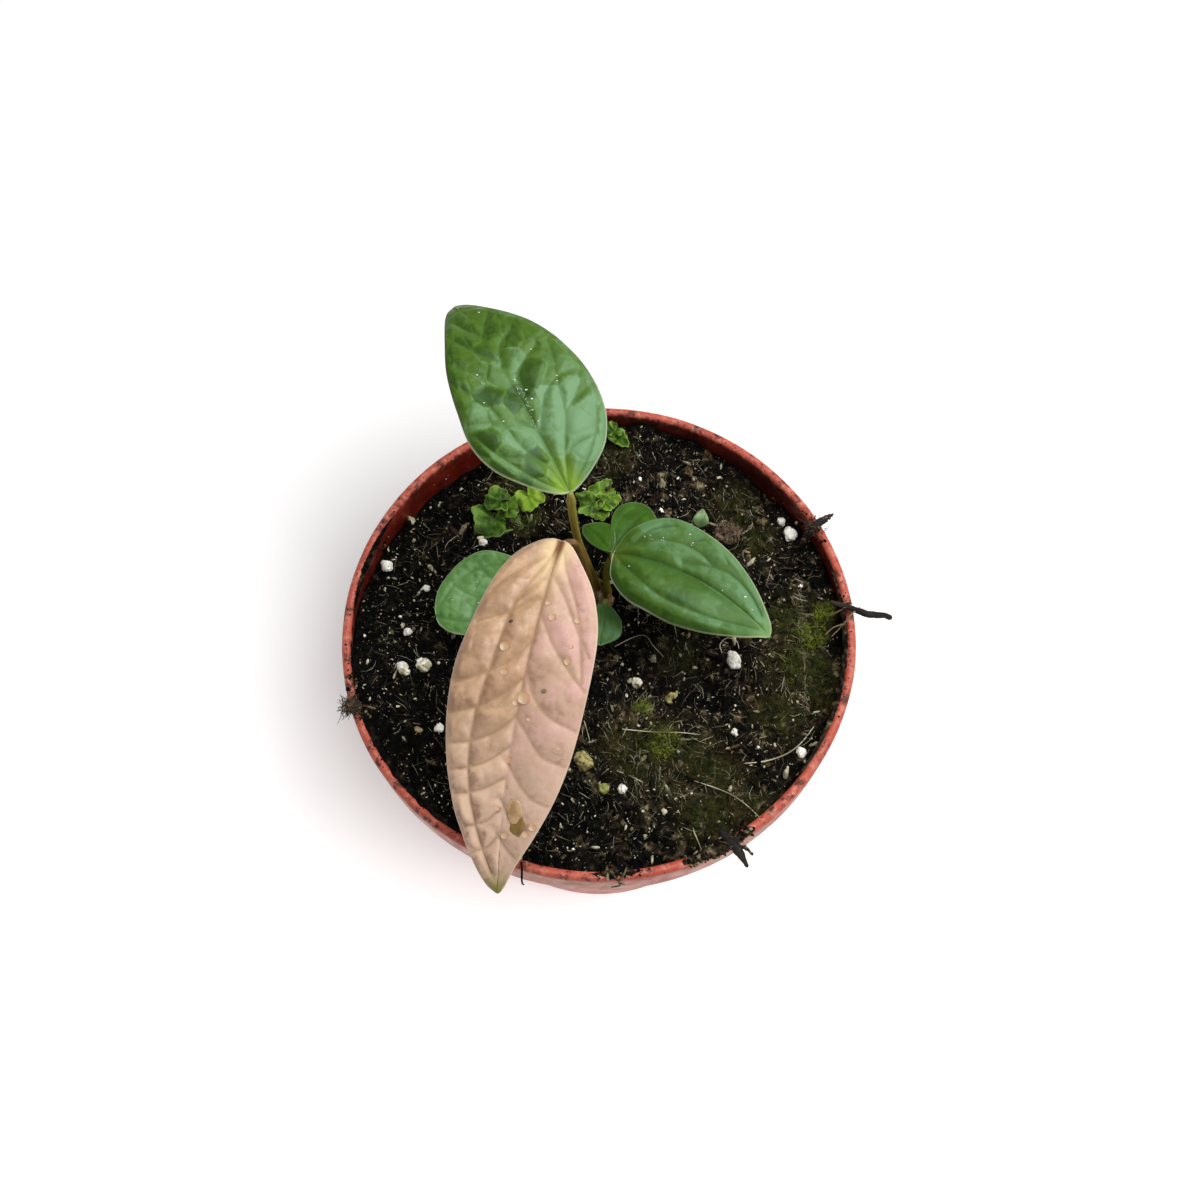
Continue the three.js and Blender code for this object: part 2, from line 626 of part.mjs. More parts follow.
function fibreClump(grow = 0) {
  const [x, y] = [18.0, 16.0];
  return grain(x, y, soilLevel(x, y) + 0.5, [3.8, 3.4, 1.9], 33, grow);
}

// Everything that stands in the soil or lies in it has its own bed there, a gap larger all round
let soilBody = soil();
const beds = [
  stemAndRoots,
  (grow) => thallus(LIVERWORT_LEFT, grow),
  (grow) => thallus(LIVERWORT_BACK, grow),
  seedling,
  sprout,
  twigRight,
  barkBackRight,
  barkLeft,
  barkFrontRight,
  fibreClump,
  ...GRAINS.map((entry, i) => (grow) => looseGrain(entry, i + 1, grow)),
];
for (const bed of beds) {
  soilBody = soilBody.subtract(bed(GAP));
}

addPart('pot', pot(), TERRACOTTA, 0.45);
addPart('soil', soilBody, SOIL_BROWN, 0.95);
addPart('stem_roots', stemAndRoots(), ROOT_CREAM, 0.7);
for (const [name, { points, radii, steps }] of Object.entries(STALKS)) {
  addPart(name, rod(points, radii, 8, steps), STALK_OLIVE, 0.5);
}
addPart('blade_upper', new Blade(UPPER_BLADE).solid(24, 12), LEAF_GREEN, 0.4);
addPart('blade_bronze', new Blade(BRONZE_BLADE).solid(30, 12), BRONZE, 0.45);
const rightLobes = [
  new Blade(RIGHT_BLADE).solid(20, 10),
  new Blade(ROUND_LOBE).solid(10, 6),
  new Blade(BACK_LOBE).solid(8, 6),
];
addPart('blade_right', join(...rightLobes), LEAF_GREEN, 0.4);
addPart('blade_low_left', new Blade(LOW_LEFT_BLADE).solid(14, 8), LEAF_PALE, 0.45);
addPart('blade_low_front', new Blade(LOW_FRONT_BLADE).solid(8, 6), LEAF_GREEN, 0.45);
addPart('liverwort_left', thallus(LIVERWORT_LEFT), WEED_GREEN, 0.6);
addPart('liverwort_back', thallus(LIVERWORT_BACK), WEED_GREEN, 0.6);
addPart('seedling_back', seedling(), WEED_GREEN, 0.5);
addPart('sprout_back', sprout(), WEED_GREEN, 0.5);
GRAINS.forEach((entry, i) => {
  addPart(entry.name, looseGrain(entry, i + 1), entry.color ?? PERLITE_WHITE, 0.9);
});
addPart('twig_right', twigRight(), BARK_BROWN, 0.85);
addPart('bark_back_right', barkBackRight(), BARK_BROWN, 0.9);
addPart('bark_left', barkLeft(), BARK_BROWN, 0.9);
addPart('bark_front_right', barkFrontRight(), BARK_BROWN, 0.9);
addPart('fibre_clump', fibreClump(), BARK_BROWN, 0.95);

export default plant;
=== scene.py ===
import functools
import itertools
import math

import bmesh
import bpy
import numpy as np
from mathutils import Euler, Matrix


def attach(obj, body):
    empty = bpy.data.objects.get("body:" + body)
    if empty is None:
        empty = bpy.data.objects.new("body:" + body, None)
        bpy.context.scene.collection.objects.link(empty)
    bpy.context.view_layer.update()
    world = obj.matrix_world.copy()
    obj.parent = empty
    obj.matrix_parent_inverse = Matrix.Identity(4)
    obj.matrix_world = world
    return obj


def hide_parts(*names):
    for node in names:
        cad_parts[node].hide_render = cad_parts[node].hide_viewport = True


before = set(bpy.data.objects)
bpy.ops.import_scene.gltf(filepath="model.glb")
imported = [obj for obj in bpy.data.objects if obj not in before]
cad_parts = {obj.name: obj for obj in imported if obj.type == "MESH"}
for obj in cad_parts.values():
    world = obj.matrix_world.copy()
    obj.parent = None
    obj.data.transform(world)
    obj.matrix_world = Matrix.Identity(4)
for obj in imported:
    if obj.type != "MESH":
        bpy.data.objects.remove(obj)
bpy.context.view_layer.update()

# A young aroid in a 7 cm nursery pot, with weeds, moss, perlite and scraps of bark on damp soil.
# Sizes and places are in millimetres, in the frame of the solids, and become metres in each mesh.
MM = 0.001
BODY = "root"

# The camera looks down at the pot from in front. Its elevation is in degrees, its lens on a 36 mm sensor.
CAMERA_AT = (0.17, -85.28, 256.98)
CAMERA_ELEVATION = 66.0
CAMERA_LENS = 48.06

# The floor and the lights, in metres: name, direction, distance, side, watts, and the kind of ray that
# doesn't see it. Soft light on the pot comes from behind, from the right and as a gleam from above. The
# last one lights the floor alone, so that the shadow falls to the left.
FLOOR_HALF = 3.0
LIGHTS = [
    ("key", (0.24, 0.24, 0.94), 0.85, 0.62, 6.6, "glossy"),
    ("side", (0.8, 0.1, 0.55), 0.75, 0.4, 2.2, "glossy"),
    ("gleam", (0.34, 0.05, 0.94), 0.85, 0.8, 5.4, "diffuse"),
    ("floor_light", (0.235, -0.31, 0.92), 0.8, 0.42, 7.1, None),
]
WORLD_STRENGTH = 0.28

# Pot, with the sides and the longest step of its mesh
POT_SIDES = 200
POT_STEP = 2.2
RIM_RADIUS = 35.0
POT_HEIGHT = 56.0
COLLAR_HEIGHT = 6.5
COLLAR_FOOT = POT_HEIGHT - COLLAR_HEIGHT
COLLAR_TAPER = 0.35
LIP_WIDTH = 1.4
WALL = 0.9
BODY_RADIUS = 33.3
BASE_RADIUS = 23.3
FLOOR = 2.0
FOOT_RADIUS = 20.6
HUB_RADIUS = 9.0
DRAIN_RECESS = 0.8
DRAIN_HOLES = 6
DRAIN_DIAMETER = 5.0
DRAIN_CIRCLE = 15.0
COLLAR_EDGE = 0.3
BASE_ROUND = 0.8

# Soil: cells of its grid, level, mounds along the wall as (direction, height, half-width in degrees),
# clods and grains as (size, height, seed)
SOIL_CELLS = 230
SOIL_LEVEL = 53.2
SOIL_RADIUS = 33.0
SOIL_MOUNDS = [(130, -3.4, 35), (194, 2.9, 18), (41, -1.8, 20), (78, 0.9, 15), (225, 0.8, 20),
               (320, 0.6, 25)]
CLODS = [(3.4, 0.55, 1), (1.7, 0.3, 2)]
SOIL_GRAINS = [(1.4, 0.5, 5), (0.66, 0.24, 6)]
# Crumbs: name, count, smallest and largest size, subdivisions, seed, and a power that makes most of
# them dark
CRUMBS = [
    ("soil_crumbs_fine", 17000, 0.04, 0.2, 0, 11, 1.4),
    ("soil_crumbs_medium", 3000, 0.12, 0.4, 1, 18, 3),
    ("soil_crumbs_coarse", 950, 0.2, 0.6, 2, 12, 3),
]

# Crown, roots as (direction, depth, reach) and dry scale leaves as (direction, height, width)
CROWN = (-0.3, 5.6, 54.8)
CROWN_RADIUS = 2.75
CROWN_DEPTH = 14.0
ROOTS = [(20, 13, 11), (85, 20, 9), (150, 12, 13), (205, 22, 8), (265, 14, 14), (325, 24, 12)]
SCALE_LEAVES = [(200, 4.2, 1.3), (330, 3.4, 1.1), (95, 3, 1.2), (265, 2.4, 0.9)]

# Leaf stalks: points from the crown to the blade, radii along them, colours at the crown, at the
# blade and of the streaks
STALKS = {
    "petiole_upper": (
        [(-0.6, 7, 54.2), (-1.35, 6.9, 60), (-2.1, 6.6, 65.5), (-2.75, 6.2, 71),
         (-3.25, 6.05, 78), (-3.45, 5.95, 83.3), (-3.55, 6.15, 84.05)],
        [0.95, 0.75, 0.64, 0.56, 0.55, 0.62, 0.42], ("#6b5c24", "#86802e", "#7c4e1c")),
    "petiole_bronze": (
        [(-0.9, 4.9, 54.2), (-1.5, 4.9, 61.5), (-2.2, 4.5, 68), (-2.7, 4.2, 72.6),
         (-3.2, 3.7, 74.9), (-3.9, 3.2, 75.85), (-4.5, 2.6, 76.3), (-4.85, 1.6, 76.75)],
        [0.95, 0.78, 0.7, 0.66, 0.66, 0.6, 0.5, 0.26], ("#6c6426", "#6c4a24", "#5c3812")),
    "petiole_right": (
        [(1.15, 6, 54.2), (1, 6.6, 58.5), (1.25, 7, 61.3), (1.8, 7.2, 63.2), (2, 7.3, 64.45)],
        [0.78, 0.55, 0.5, 0.52, 0.4], ("#7c7224", "#5f7626", "#8a6a24")),
    "petiole_low_left": (
        [(-2, 6.1, 54.4), (-3.6, 6.6, 56.6), (-5.6, 7.1, 57.4), (-7.55, 7.65, 57.9), (-8.1, 7.45, 58.05)],
        [0.65, 0.5, 0.45, 0.42, 0.34], ("#7f8136", "#6f9448", "#9a8a3c")),
    "petiole_low_front": (
        [(0.95, 4.5, 54.2), (0.95, 4, 55.8), (0.8, 3.75, 56.4), (0.74, 3.1, 56.75)],
        [0.55, 0.45, 0.42, 0.32], ("#7f8136", "#6f9448", "#9a8a3c")),
}

# Leaf blades. rib is the midrib's cubic curve. Margins and veins are (u along the midrib, v across
# it), from the base outwards. fold and droop bend the two halves, skirts curve one side down as
# (side, from v, strength), and soft_rib rounds the fold towards the tip. pillow is the rise between
# the veins, vein_width how far a vein dips, calm the share of the relief on one half, and flat_tip
# and rib_fade ease the relief and the midrib towards the tip. The small panels have a size (cell), a
# height, a tilt and a border (crisp); facets puts single ones at (u, v) with a clear radius and
# tilts along and across. Each panel's colour is lightened as painted sheen or darkened as painted
# shade: by its tilt, by sheen as (u, v, radius, amount), by slope_tone with its slope against the
# light's direction, and by edge_light, a painted highlight along its edges.
USUAL = dict(calm=1, flat_tip=0, soft_rib=0.2, rib_fade=1.6, skirts=(), facets=(), sheen=(), cell_tilt=0,
             crisp=0.8, slope_tone=1, edge_light=0)
UPPER = dict(
    rib=[(-3.5, 6, 84), (-8.2, 14.5, 88.5), (-14.2, 24.5, 90.5), (-18.5, 32.1, 85)],
    left=[(0.5, -1.5), (2.6, -4.1), (6.2, -7), (10.5, -8.1), (15.3, -7.5), (20.7, -6.1), (26.3, -3.5),
          (29.4, -2.1), (31, -1)],
    right=[(0.1, 1.1), (1.4, 3.8), (3.7, 6.9), (7.4, 8.9), (12.2, 9.5), (17.7, 8.6), (22.6, 6.6), (27, 3.8),
           (29.9, 2), (31.2, 0.9)],
    fold=0.2, droop=0.022, pillow=0.2, vein_width=1.5, cell=2.3, cell_height=0.08, cell_tilt=0.04, crisp=0.4,
    flat_tip=0.2, soft_rib=2.2, rib_fade=4.0, skirts=[(-1, 5.6, 0.1)],
    sheen=[(5, 5, 4.5, 1.15), (10, 4, 4, 0.75), (10.5, -3, 2.4, 0.5), (14, 7, 3, 0.2), (6, -4.5, 3, 0.05),
           (17, -1, 2, 0.1), (19, 2, 1.6, 0.2), (3, -1, 2.5, -0.4), (13, -0.9, 2.2, -1.2), (22, 3, 6, -0.1),
           (22, -3, 5, -0.1)],
    slope_tone=1.6, edge_light=1.0,
    facets=[
        (16.6, -1.1, 2, 0.07, -0.04), (15, -2.6, 2, -0.1, 0.1), (13, -0.6, 2.2, -0.1, 0.1),
        (12.2, -3.3, 2, 0.04, -0.03), (8.5, -2.4, 2.6, 0.04, -0.03), (12.7, -5.9, 1.8, 0.06, -0.1),
        (10.6, -6.5, 1.6, -0.1, 0.1), (5, -2.3, 1.8, -0.08, 0.1), (4.1, -4.2, 1.6, 0.05, -0.05),
        (3, -5, 1.6, -0.08, 0.14), (5.4, -6.6, 1.6, -0.08, 0.14), (11.2, 4.1, 2.4, 0, 0),
        (8.8, 1.9, 2.4, 0, 0), (7.3, 4.8, 2.8, 0, 0), (4.5, 4.5, 2.4, 0, 0), (8.5, 7.3, 2, 0, 0),
        (6.1, 1.3, 2, 0, 0), (10.2, 7.1, 1.4, -0.15, 0.15),
        (15.8, 3.1, 2.2, -0.1, 0.08), (18.3, 1.9, 1.8, 0.07, -0.03), (13.6, 5.4, 1.6, -0.1, 0.1),
        (11.5, 6, 1.4, 0.05, -0.05),
    ],
    veins=[
        [(0.3, -0.4), (2.3, -2.3), (4.5, -3.9), (8.7, -6.2), (11.5, -7.2)],
        [(0.8, -0.3), (3.7, -1), (7, -2.6), (10.5, -3.3), (14.6, -4.1), (17.5, -5.7)],
        [(4.4, -1.1), (6, -2.4), (6.7, -4.9)],
        [(8.6, 0.1), (9.9, -1.3), (10.6, -3.3)],
        [(11.5, -3.6), (12.3, -5.4), (13.1, -7.4)],
        [(13.8, 0.2), (15.9, -1.5), (18.4, -3.2), (20.6, -4.8)],
        [(19, 0.1), (21, -1.5), (24.4, -3)],
        [(23.8, 0), (25.6, -1), (27.4, -1.5)],
        [(0.2, 0.4), (1.6, 2.2), (3.4, 4.6), (5.6, 6.6), (8, 8)],
        [(0.8, 0.2), (4, 1.4), (6.1, 2.5), (8.9, 4.1), (12.2, 5), (16, 6.3), (18.5, 6.9)],
        [(8.3, 0.3), (11.4, 2.4), (12.5, 3.5), (13.6, 6), (13.4, 7.9)],
        [(8.9, 4.1), (10, 6), (10.7, 8.2)],
        [(13.2, 0.8), (15.9, 1.4), (17.3, 2.9), (18.5, 5.2)],
        [(18, 0.2), (20.7, 1.4), (22.3, 3.9)],
        [(23, 0.1), (25, 1.5), (26.3, 2.7)],
        [(4.2, 1.5), (4.9, 3.2), (5, 5.6)],
    ])
BRONZE = dict(
    rib=[(-4.6, 3.3, 76.5), (-7.4, -8, 79.5), (-11.9, -24, 74), (-12.6, -37.5, 60)],
    left=[(0.3, 1.4), (1.5, 3.1), (4.4, 5.5), (9, 7.1), (13.9, 8.1), (18.6, 8.8), (24.5, 8.6), (30.8, 7.5),
          (36.6, 5.7), (42, 3.3), (45.6, 1.4)],
    right=[(0.7, -1.4), (3.5, -3.6), (7.3, -6.1), (12.4, -7.7), (19.5, -8), (26.8, -7.6), (32.7, -6.4),
           (37.8, -4.5), (42.8, -2.1), (45.9, -0.8)],
    fold=0.22, droop=0.028, pillow=0.66, vein_width=1.9, cell=2.6, cell_height=0.12, cell_tilt=0.05,
    crisp=0.5, flat_tip=0.4, calm=0.32, soft_rib=0.5, slope_tone=1.3,
    sheen=[(10, -3, 4, 0.2), (4, 2.5, 3, 0.4), (20, 5, 5, -0.1), (30, -5, 5, 0.1)],
    veins=[
        [(0.6, 0.1), (3.7, 0.9), (7, 2.1), (10.3, 3.3), (17.9, 4.2), (24.9, 5), (31.9, 4.6), (38, 3),
         (43.8, 0.9)],
        [(5.6, -0.3), (7.5, 1.6), (10, 3.3)],
        [(8.6, -0.2), (10, 1.9), (11.7, 4), (13.4, 7.2)],
        [(3, 0.6), (5.2, 3), (7.6, 5.2), (9.2, 6.4)],
        [(13.2, -0.4), (16.7, 1.6), (19.1, 4.6), (21, 8.2)],
        [(18.4, -0.2), (21.1, 1.9), (23.2, 4.8), (24.6, 8)],
        [(23.2, -0.1), (25.7, 1.9), (27.4, 4.9), (28.2, 7.6)],
        [(27.4, 0.3), (29.4, 2.4), (30.6, 4.8), (31.2, 6.8)],
        [(31.4, 0.4), (32.8, 2.4), (33.6, 4.4), (34, 6)],
        [(35.5, 0.5), (37, 2), (37.9, 4.4)],
        [(39, 0.5), (40.3, 1.5), (41, 3.2)],
        [(0.8, -0.3), (4, -1.5), (9.1, -4.3), (13.4, -5.8), (18, -7)],
        [(5.6, -0.4), (8.5, -2.8), (12.4, -5.4), (14.8, -7.2)],
        [(11, -0.4), (14.2, -2.6), (17.6, -5.9), (19, -7.6)],
        [(18, -0.3), (20.7, -1.6), (22.8, -3.9), (24, -7.4)],
        [(23.6, 0), (25.4, -1.7), (27.8, -3.9), (28.6, -6.8)],
        [(29, 0.3), (31.2, -1.3), (33.3, -3.4), (34, -5.4)],
        [(34, 0.4), (36, -1), (37.6, -3.2)],
        [(38.4, 0.5), (40.3, -0.9), (41.4, -2)],
    ])
RIGHT = dict(
    rib=[(1.9, 7.3, 64.5), (9, 5.5, 66.5), (17, 1, 66), (22.4, -4.6, 63.5)],
    left=[(0.4, -1.1), (1.6, -3.7), (3.7, -5.7), (6.1, -6.8), (9.2, -6.7), (12.9, -5.9), (16.9, -4.5),
          (20.6, -2.7), (23.3, -1.2)],
    right=[(0.1, 1.2), (0.9, 4), (3.7, 6), (7.8, 6.7), (12.5, 6.7), (17.1, 5.6), (20.9, 3.5), (23.3, 1.1)],
    fold=0.18, droop=0.016, pillow=0.3, vein_width=1.9, cell=2.2, cell_height=0.05, cell_tilt=0.04,
    skirts=[(1, 3.2, 0.12)],
    sheen=[(3.4, -4.2, 2.6, 0.8), (8, -4.6, 4, 0.36), (14, -4, 4, 0.3), (20, -1, 3.5, 0.45),
           (15, 2.6, 3, 0.6), (8, 2.6, 2.5, 0.5), (5, 5, 3, -0.3), (12, 5.6, 4, -0.45),
           (11, 0.9, 1.6, -0.6), (2, -1, 2.5, -0.5)],
    slope_tone=2.0,
    veins=[
        [(0.6, -0.2), (2.6, -1.6), (5.5, -3.1), (8.4, -3.7), (11, -3.4), (13, -2.6)],
        [(9.4, -1.2), (11.4, -2), (13, -2.6), (15.5, -3), (18.6, -2.4), (21.6, -1.2)],
        [(0.5, 0.4), (2, 1.7), (3.9, 2.7), (6.6, 3.9), (10.1, 4.5), (14.9, 4), (18.6, 2.7), (22.4, 0.5)],
        [(2.6, -1.6), (4.2, -4.2), (6.4, -5.6)],
        [(8.4, -3.7), (10.4, -5.4)],
    ])
ROUND_LOBE = dict(
    rib=[(1.9, 7.5, 64.3), (2.6, 9.6, 63.9), (4.4, 12.4, 63.2), (7.2, 15.2, 61.8)],
    left=[(1.3, -0.7), (3.5, -2.2), (5.9, -3.2), (8, -2.8), (9.4, -1.4)],
    right=[(0.6, 1.3), (2.5, 3), (5.5, 3.8), (8.3, 2.7)],
    fold=0.1, droop=0.02, pillow=0.1, vein_width=1.2, cell=1.6, cell_height=0.04,
    veins=[
        [(0.6, -0.2), (3, -1.2), (6, -1.8), (8.6, -1.2)],
        [(0.5, 0.3), (2.6, 1.7), (5.4, 2.2), (8.2, 1.2)],
    ])
BACK_LOBE = dict(
    rib=[(1.8, 7.5, 64.2), (0.6, 9, 63.8), (-0.7, 10.8, 63.3), (-2.1, 12.3, 62.6)],
    left=[(0.6, -0.5), (1.8, -1), (3.6, -1.3), (5.4, -1)],
    right=[(0.6, 1), (2.4, 2.4), (4, 2.6), (5.4, 1.6)],
    fold=0.1, droop=0.02, pillow=0.1, vein_width=1.2, cell=1.6, cell_height=0.04,
    veins=[[(0.4, 0.2), (2.2, 1.3), (4.8, 1)]])
LOW_LEFT = dict(
    rib=[(-8, 7.5, 58), (-12, 5.5, 59), (-17, 3, 59), (-22.1, 1.1, 57.5)],
    left=[(0.4, -1.5), (3, -4.6), (7, -5.8), (11, -5.2), (14, -3.7), (15.5, -1.6)],
    right=[(0.6, 1.3), (2.8, 3.9), (4.9, 5.8), (7, 6.3), (10.1, 5.8), (13.5, 3.9), (15.2, 1.6)],
    fold=0.1, droop=0.018, pillow=0.14, vein_width=1.8, cell=1.5, cell_height=0.16, cell_tilt=0.05,
    sheen=[(9, -2, 4, 0.5), (11, 2, 3, 0.4)], slope_tone=1.6,
    veins=[
        [(0.5, -0.3), (3, -2.2), (7, -3.4), (11.4, -3), (15, -0.8)],
        [(0.5, 0.3), (3, 2.2), (6.6, 3.6), (10.8, 3.3), (15, 0.9)],
        [(4.5, 0), (6.4, -1.6), (7.2, -3.4), (7.6, -5.2)],
        [(9, 0), (10.6, -1.4), (11.4, -3)],
        [(5, 0), (6.6, 1.8), (7.2, 3.6), (7.6, 5.6)],
        [(9.5, 0), (10.8, 1.5), (11.6, 3.1)],
    ])
LOW_FRONT = dict(
    rib=[(0.75, 3.3, 56.7), (0.6, 1.4, 57.2), (0.3, -0.8, 57), (0.2, -2.8, 56.3)],
    left=[(0.5, 1.1), (1.9, 2.3), (3.4, 2.8), (5, 2.2)],
    right=[(0.5, -1.1), (1.9, -2.3), (3.4, -2.8), (5, -2.4)],
    fold=0.1, droop=0.03, pillow=0.1, vein_width=1.0, cell=1.4, cell_height=0.04,
    veins=[
        [(0.4, 0.2), (1.8, 1.2), (4, 1.5), (5.8, 0.5)],
        [(0.4, -0.2), (1.8, -1.2), (4, -1.5), (5.8, -0.6)],
    ])
# The sprout's leaf, on a midrib of its own
SPROUT = dict(
    left=[(0.2, -0.5), (0.9, -1.15), (1.8, -0.9)], right=[(0.2, 0.5), (0.9, 1.15), (1.8, 0.9)],
    fold=0.25, droop=0.02, pillow=0.1, vein_width=0.8, cell=1, cell_height=0.05,
    veins=[[(0.3, 0.2), (2, 0.5)]])
BLADE_THICKNESS = 0.32
MARGIN_POINTS = 400
# The share of a panel over which its painted sheen and shade blend into the next one's, and the direction of
# the light that the painted shade on its slopes stands for
BORDER = 0.2
SHINE_FROM = (0.8, 0.5, 0)

# Colours of the blades, as leaf_paint explains them, the cool one that green leaves reflect, and how
# far light goes into a leaf, in metres
LEAF_SCATTER = 0.0005
COOL = "#d9fff6"
# The last entry of each look is the painted sheen and painted shade of its panels: lightest, darkest, most of
# the lightest.
LEAF_LOOKS = {
    "leaf_upper": dict(
        panel=("#40600e", "#4c6a16"), base=("#80a01e", 0.22), margin=("#a9b48a", "#9db08c", "#4a3a2e", 0.36),
        under="#7e9a6c", rib="#3c5c1c", gloss=0.32, shine=0.5, shine_tint=COOL,
        bloom=("#66885a", "#2a4400", 0.9)),
    "leaf_bronze": dict(
        panel=("#b8957d", "#c8a38e"), other=("#a07e5c", "#be9a74"), base=("#ead0a0", 0.24),
        margin=("#dcc2ae", "#d6c2b6", "#d0b8a2", 0.28), under="#b08f78", rib="#8f6e48", gloss=0.42,
        shine=0.4, tip=("#7f7a32", 0.9), dull=("#d4b49c", 0.42), blush="#cc9e98", mark="#7a4f2c",
        bloom=("#e0c2ae", "#94705a", 0.6)),
    "leaf_right": dict(
        panel=("#3c5a14", "#486820"), base=("#52680e", 0.22), margin=("#6f7c50", "#d0dab8", "#a8ac86", 0.32),
        under="#7f9c6a", rib="#27440c", gloss=0.34, shine=0.4, shine_tint=COOL, lobe=("#2e4e04", "#3a6008"),
        band="#3a5c18", tip=("#6d9250", 0.86), bloom=("#5c8152", "#2c4a08", 0.9)),
    "leaf_low": dict(
        panel=("#5e8a42", "#6e9c54"), base=("#6f9440", 0.12), margin=("#b4cc9e", "#b4cc9e", "#b4cc9e", 0.3),
        under="#86a276", rib="#54803e", gloss=0.36, shine=0.4, shine_tint=COOL, lobe=("#42652c", "#4e7536"),
        bloom=("#8ab27a", "#44702e", 0.9)),
}
SPROUT_LOOK = dict(
    panel=("#5d7a48", "#74905c"), base=("#5d7a48", 0.2), margin=("#8fa674", "#8fa674", "#8fa674", 0.1),
    under="#86a276", rib="#4a6636")

# Leaves: name, colours, slot, node, blades, pitch of the mesh
LEAVES = [
    ("leaf_upper", "leaf_upper", "leaf_green", "blade_upper", [UPPER], 0.2),
    ("leaf_bronze", "leaf_bronze", "leaf_bronze", "blade_bronze", [BRONZE], 0.24),
    ("leaf_right", "leaf_right", "leaf_green", "blade_right", [RIGHT, ROUND_LOBE, BACK_LOBE], 0.2),
    ("leaf_low_left", "leaf_low", "leaf_green", "blade_low_left", [LOW_LEFT], 0.2),
    ("leaf_low_front", "leaf_low", "leaf_green", "blade_low_front", [LOW_FRONT], 0.2),
]

# Flat weeds: middle, height above the soil, lobes as (offset, direction, reach, half-width, brightness)
WEEDS = {
    "liverwort_left": ((-14.4, 19.6), 0.5, [
        ((-0.5, -0.9), -98, 2.7, 3.5, 0), ((4.3, 2.4), -60, 2.3, 2, 0.95),
        ((0.4, 1.6), 165, 2.2, 1.9, 0), ((1.3, 0.6), 15, 1.8, 1.5, 0.15)]),
    "liverwort_back": ((-0.2, 20.5), 0.5, [
        ((0.5, 1), 68, 2.6, 1.8, 0.3), ((0.9, 0.2), 12, 2.2, 1.3, 0.35), ((0.9, -0.5), -32, 1.7, 1.1, 0.25),
        ((0.1, -0.7), -88, 2.2, 1.6, 0.3), ((-0.7, -0.5), 215, 2, 1.5, 0.1),
        ((-0.6, 0.4), 160, 2, 1.4, 0.1)]),
}
SEEDLING_AT = (2.3, 31)
SPROUT_AT = (14.6, 17.6)

# Grains: place on the soil, size, height of the middle above the soil
PERLITE = [
    ((27.1, 16), (2.3, 1.6, 1.5), 0.5), ((18.5, -3.9), (1.9, 2.3, 1.4), 0.5),
    ((26.9, -17.2), (1.6, 1.5, 1.3), 0.4), ((5.2, -7.1), (1.7, 1.6, 1.3), 0.5),
    ((-26.5, -5.7), (2, 1.5, 1.3), 0.4), ((-23.7, -5), (2, 1.8, 1.4), 0.4),
    ((-29.9, 11.2), (1.8, 1.6, 1.4), 0.4), ((3.1, -22.2), (1.3, 1.3, 1.1), 0.4),
    ((18.3, -14.2), (1.2, 1.1, 1), 0.3), ((26.1, 18.3), (1.3, 1.2, 1.1), 0.3),
    ((-24.1, 7.3), (1.2, 1.1, 1), 0.3), ((-21.4, -13.8), (1.4, 1.3, 1.1), 0.4),
    ((-26.2, 0.2), (1.2, 1.1, 1), 0.4), ((-16.5, 14.8), (1.3, 1.2, 1), 0.4),
    ((28, 7.4), (1.2, 1.1, 1), 0.3), ((8.7, 19.2), (1.1, 1, 1), 0.3),
]
# Grains stained amber or green, and smaller lumps grown on grains as (dx, dy, share of the size), by
# the number of the grain
STAINED = {4: 0.75, 5: 0.75, 6: 1.0}
GRAIN_LUMPS = {1: [(0.5, 0.2, 0.7)], 2: [(-0.35, 0.75, 0.62), (0.45, -0.7, 0.55)], 5: [(0.6, -0.3, 0.6)],
               6: [(-0.5, 0.4, 0.6)]}
GRANULES = {
    "granule_front": ((-2.1, -18.3), (2.2, 3, 1.8), 0.6),
    "granule_small": ((0.7, -22), (1.5, 1.5, 1.3), 0.4),
    "granule_chip": ((9.9, -9), (2.6, 1.4, 1), 0.4),
}

# Moss: leaves of a tuft, and patches as (middle, radius, tufts, brightness)
MOSS_LEAVES = 12
MOSS = [
    ((6, -10.6), 1, 14, 0.95), ((3.5, -15.8), 2.6, 16, 0.4), ((8.2, -15.8), 2.4, 32, 0.9),
    ((12.8, -18), 2.8, 22, 0.4), ((5.5, -19.3), 2.2, 12, 0.35), ((26, 2.2), 2.6, 20, 0.6),
    ((29.2, -0.2), 1.9, 26, 1), ((27.5, -4.4), 3.2, 38, 0.6), ((30.5, -8), 2.4, 18, 0.4),
    ((31, 3.2), 1.4, 18, 1), ((14.2, -26), 2.6, 18, 0.45), ((19.5, -24.5), 2.2, 10, 0.35),
    ((22, 15), 2.2, 12, 0.35), ((19.5, 20.5), 2.4, 10, 0.25), ((24.5, -12), 2.6, 12, 0.35),
    ((-10.5, 18.6), 1.8, 10, 0.6), ((-13, 24), 1.8, 8, 0.45), ((2.5, 28), 1.8, 8, 0.4),
    ((11, -3.4), 2, 8, 0.35), ((16, -20.5), 2.4, 16, 0.4), ((9, -21.5), 2.2, 8, 0.35),
]

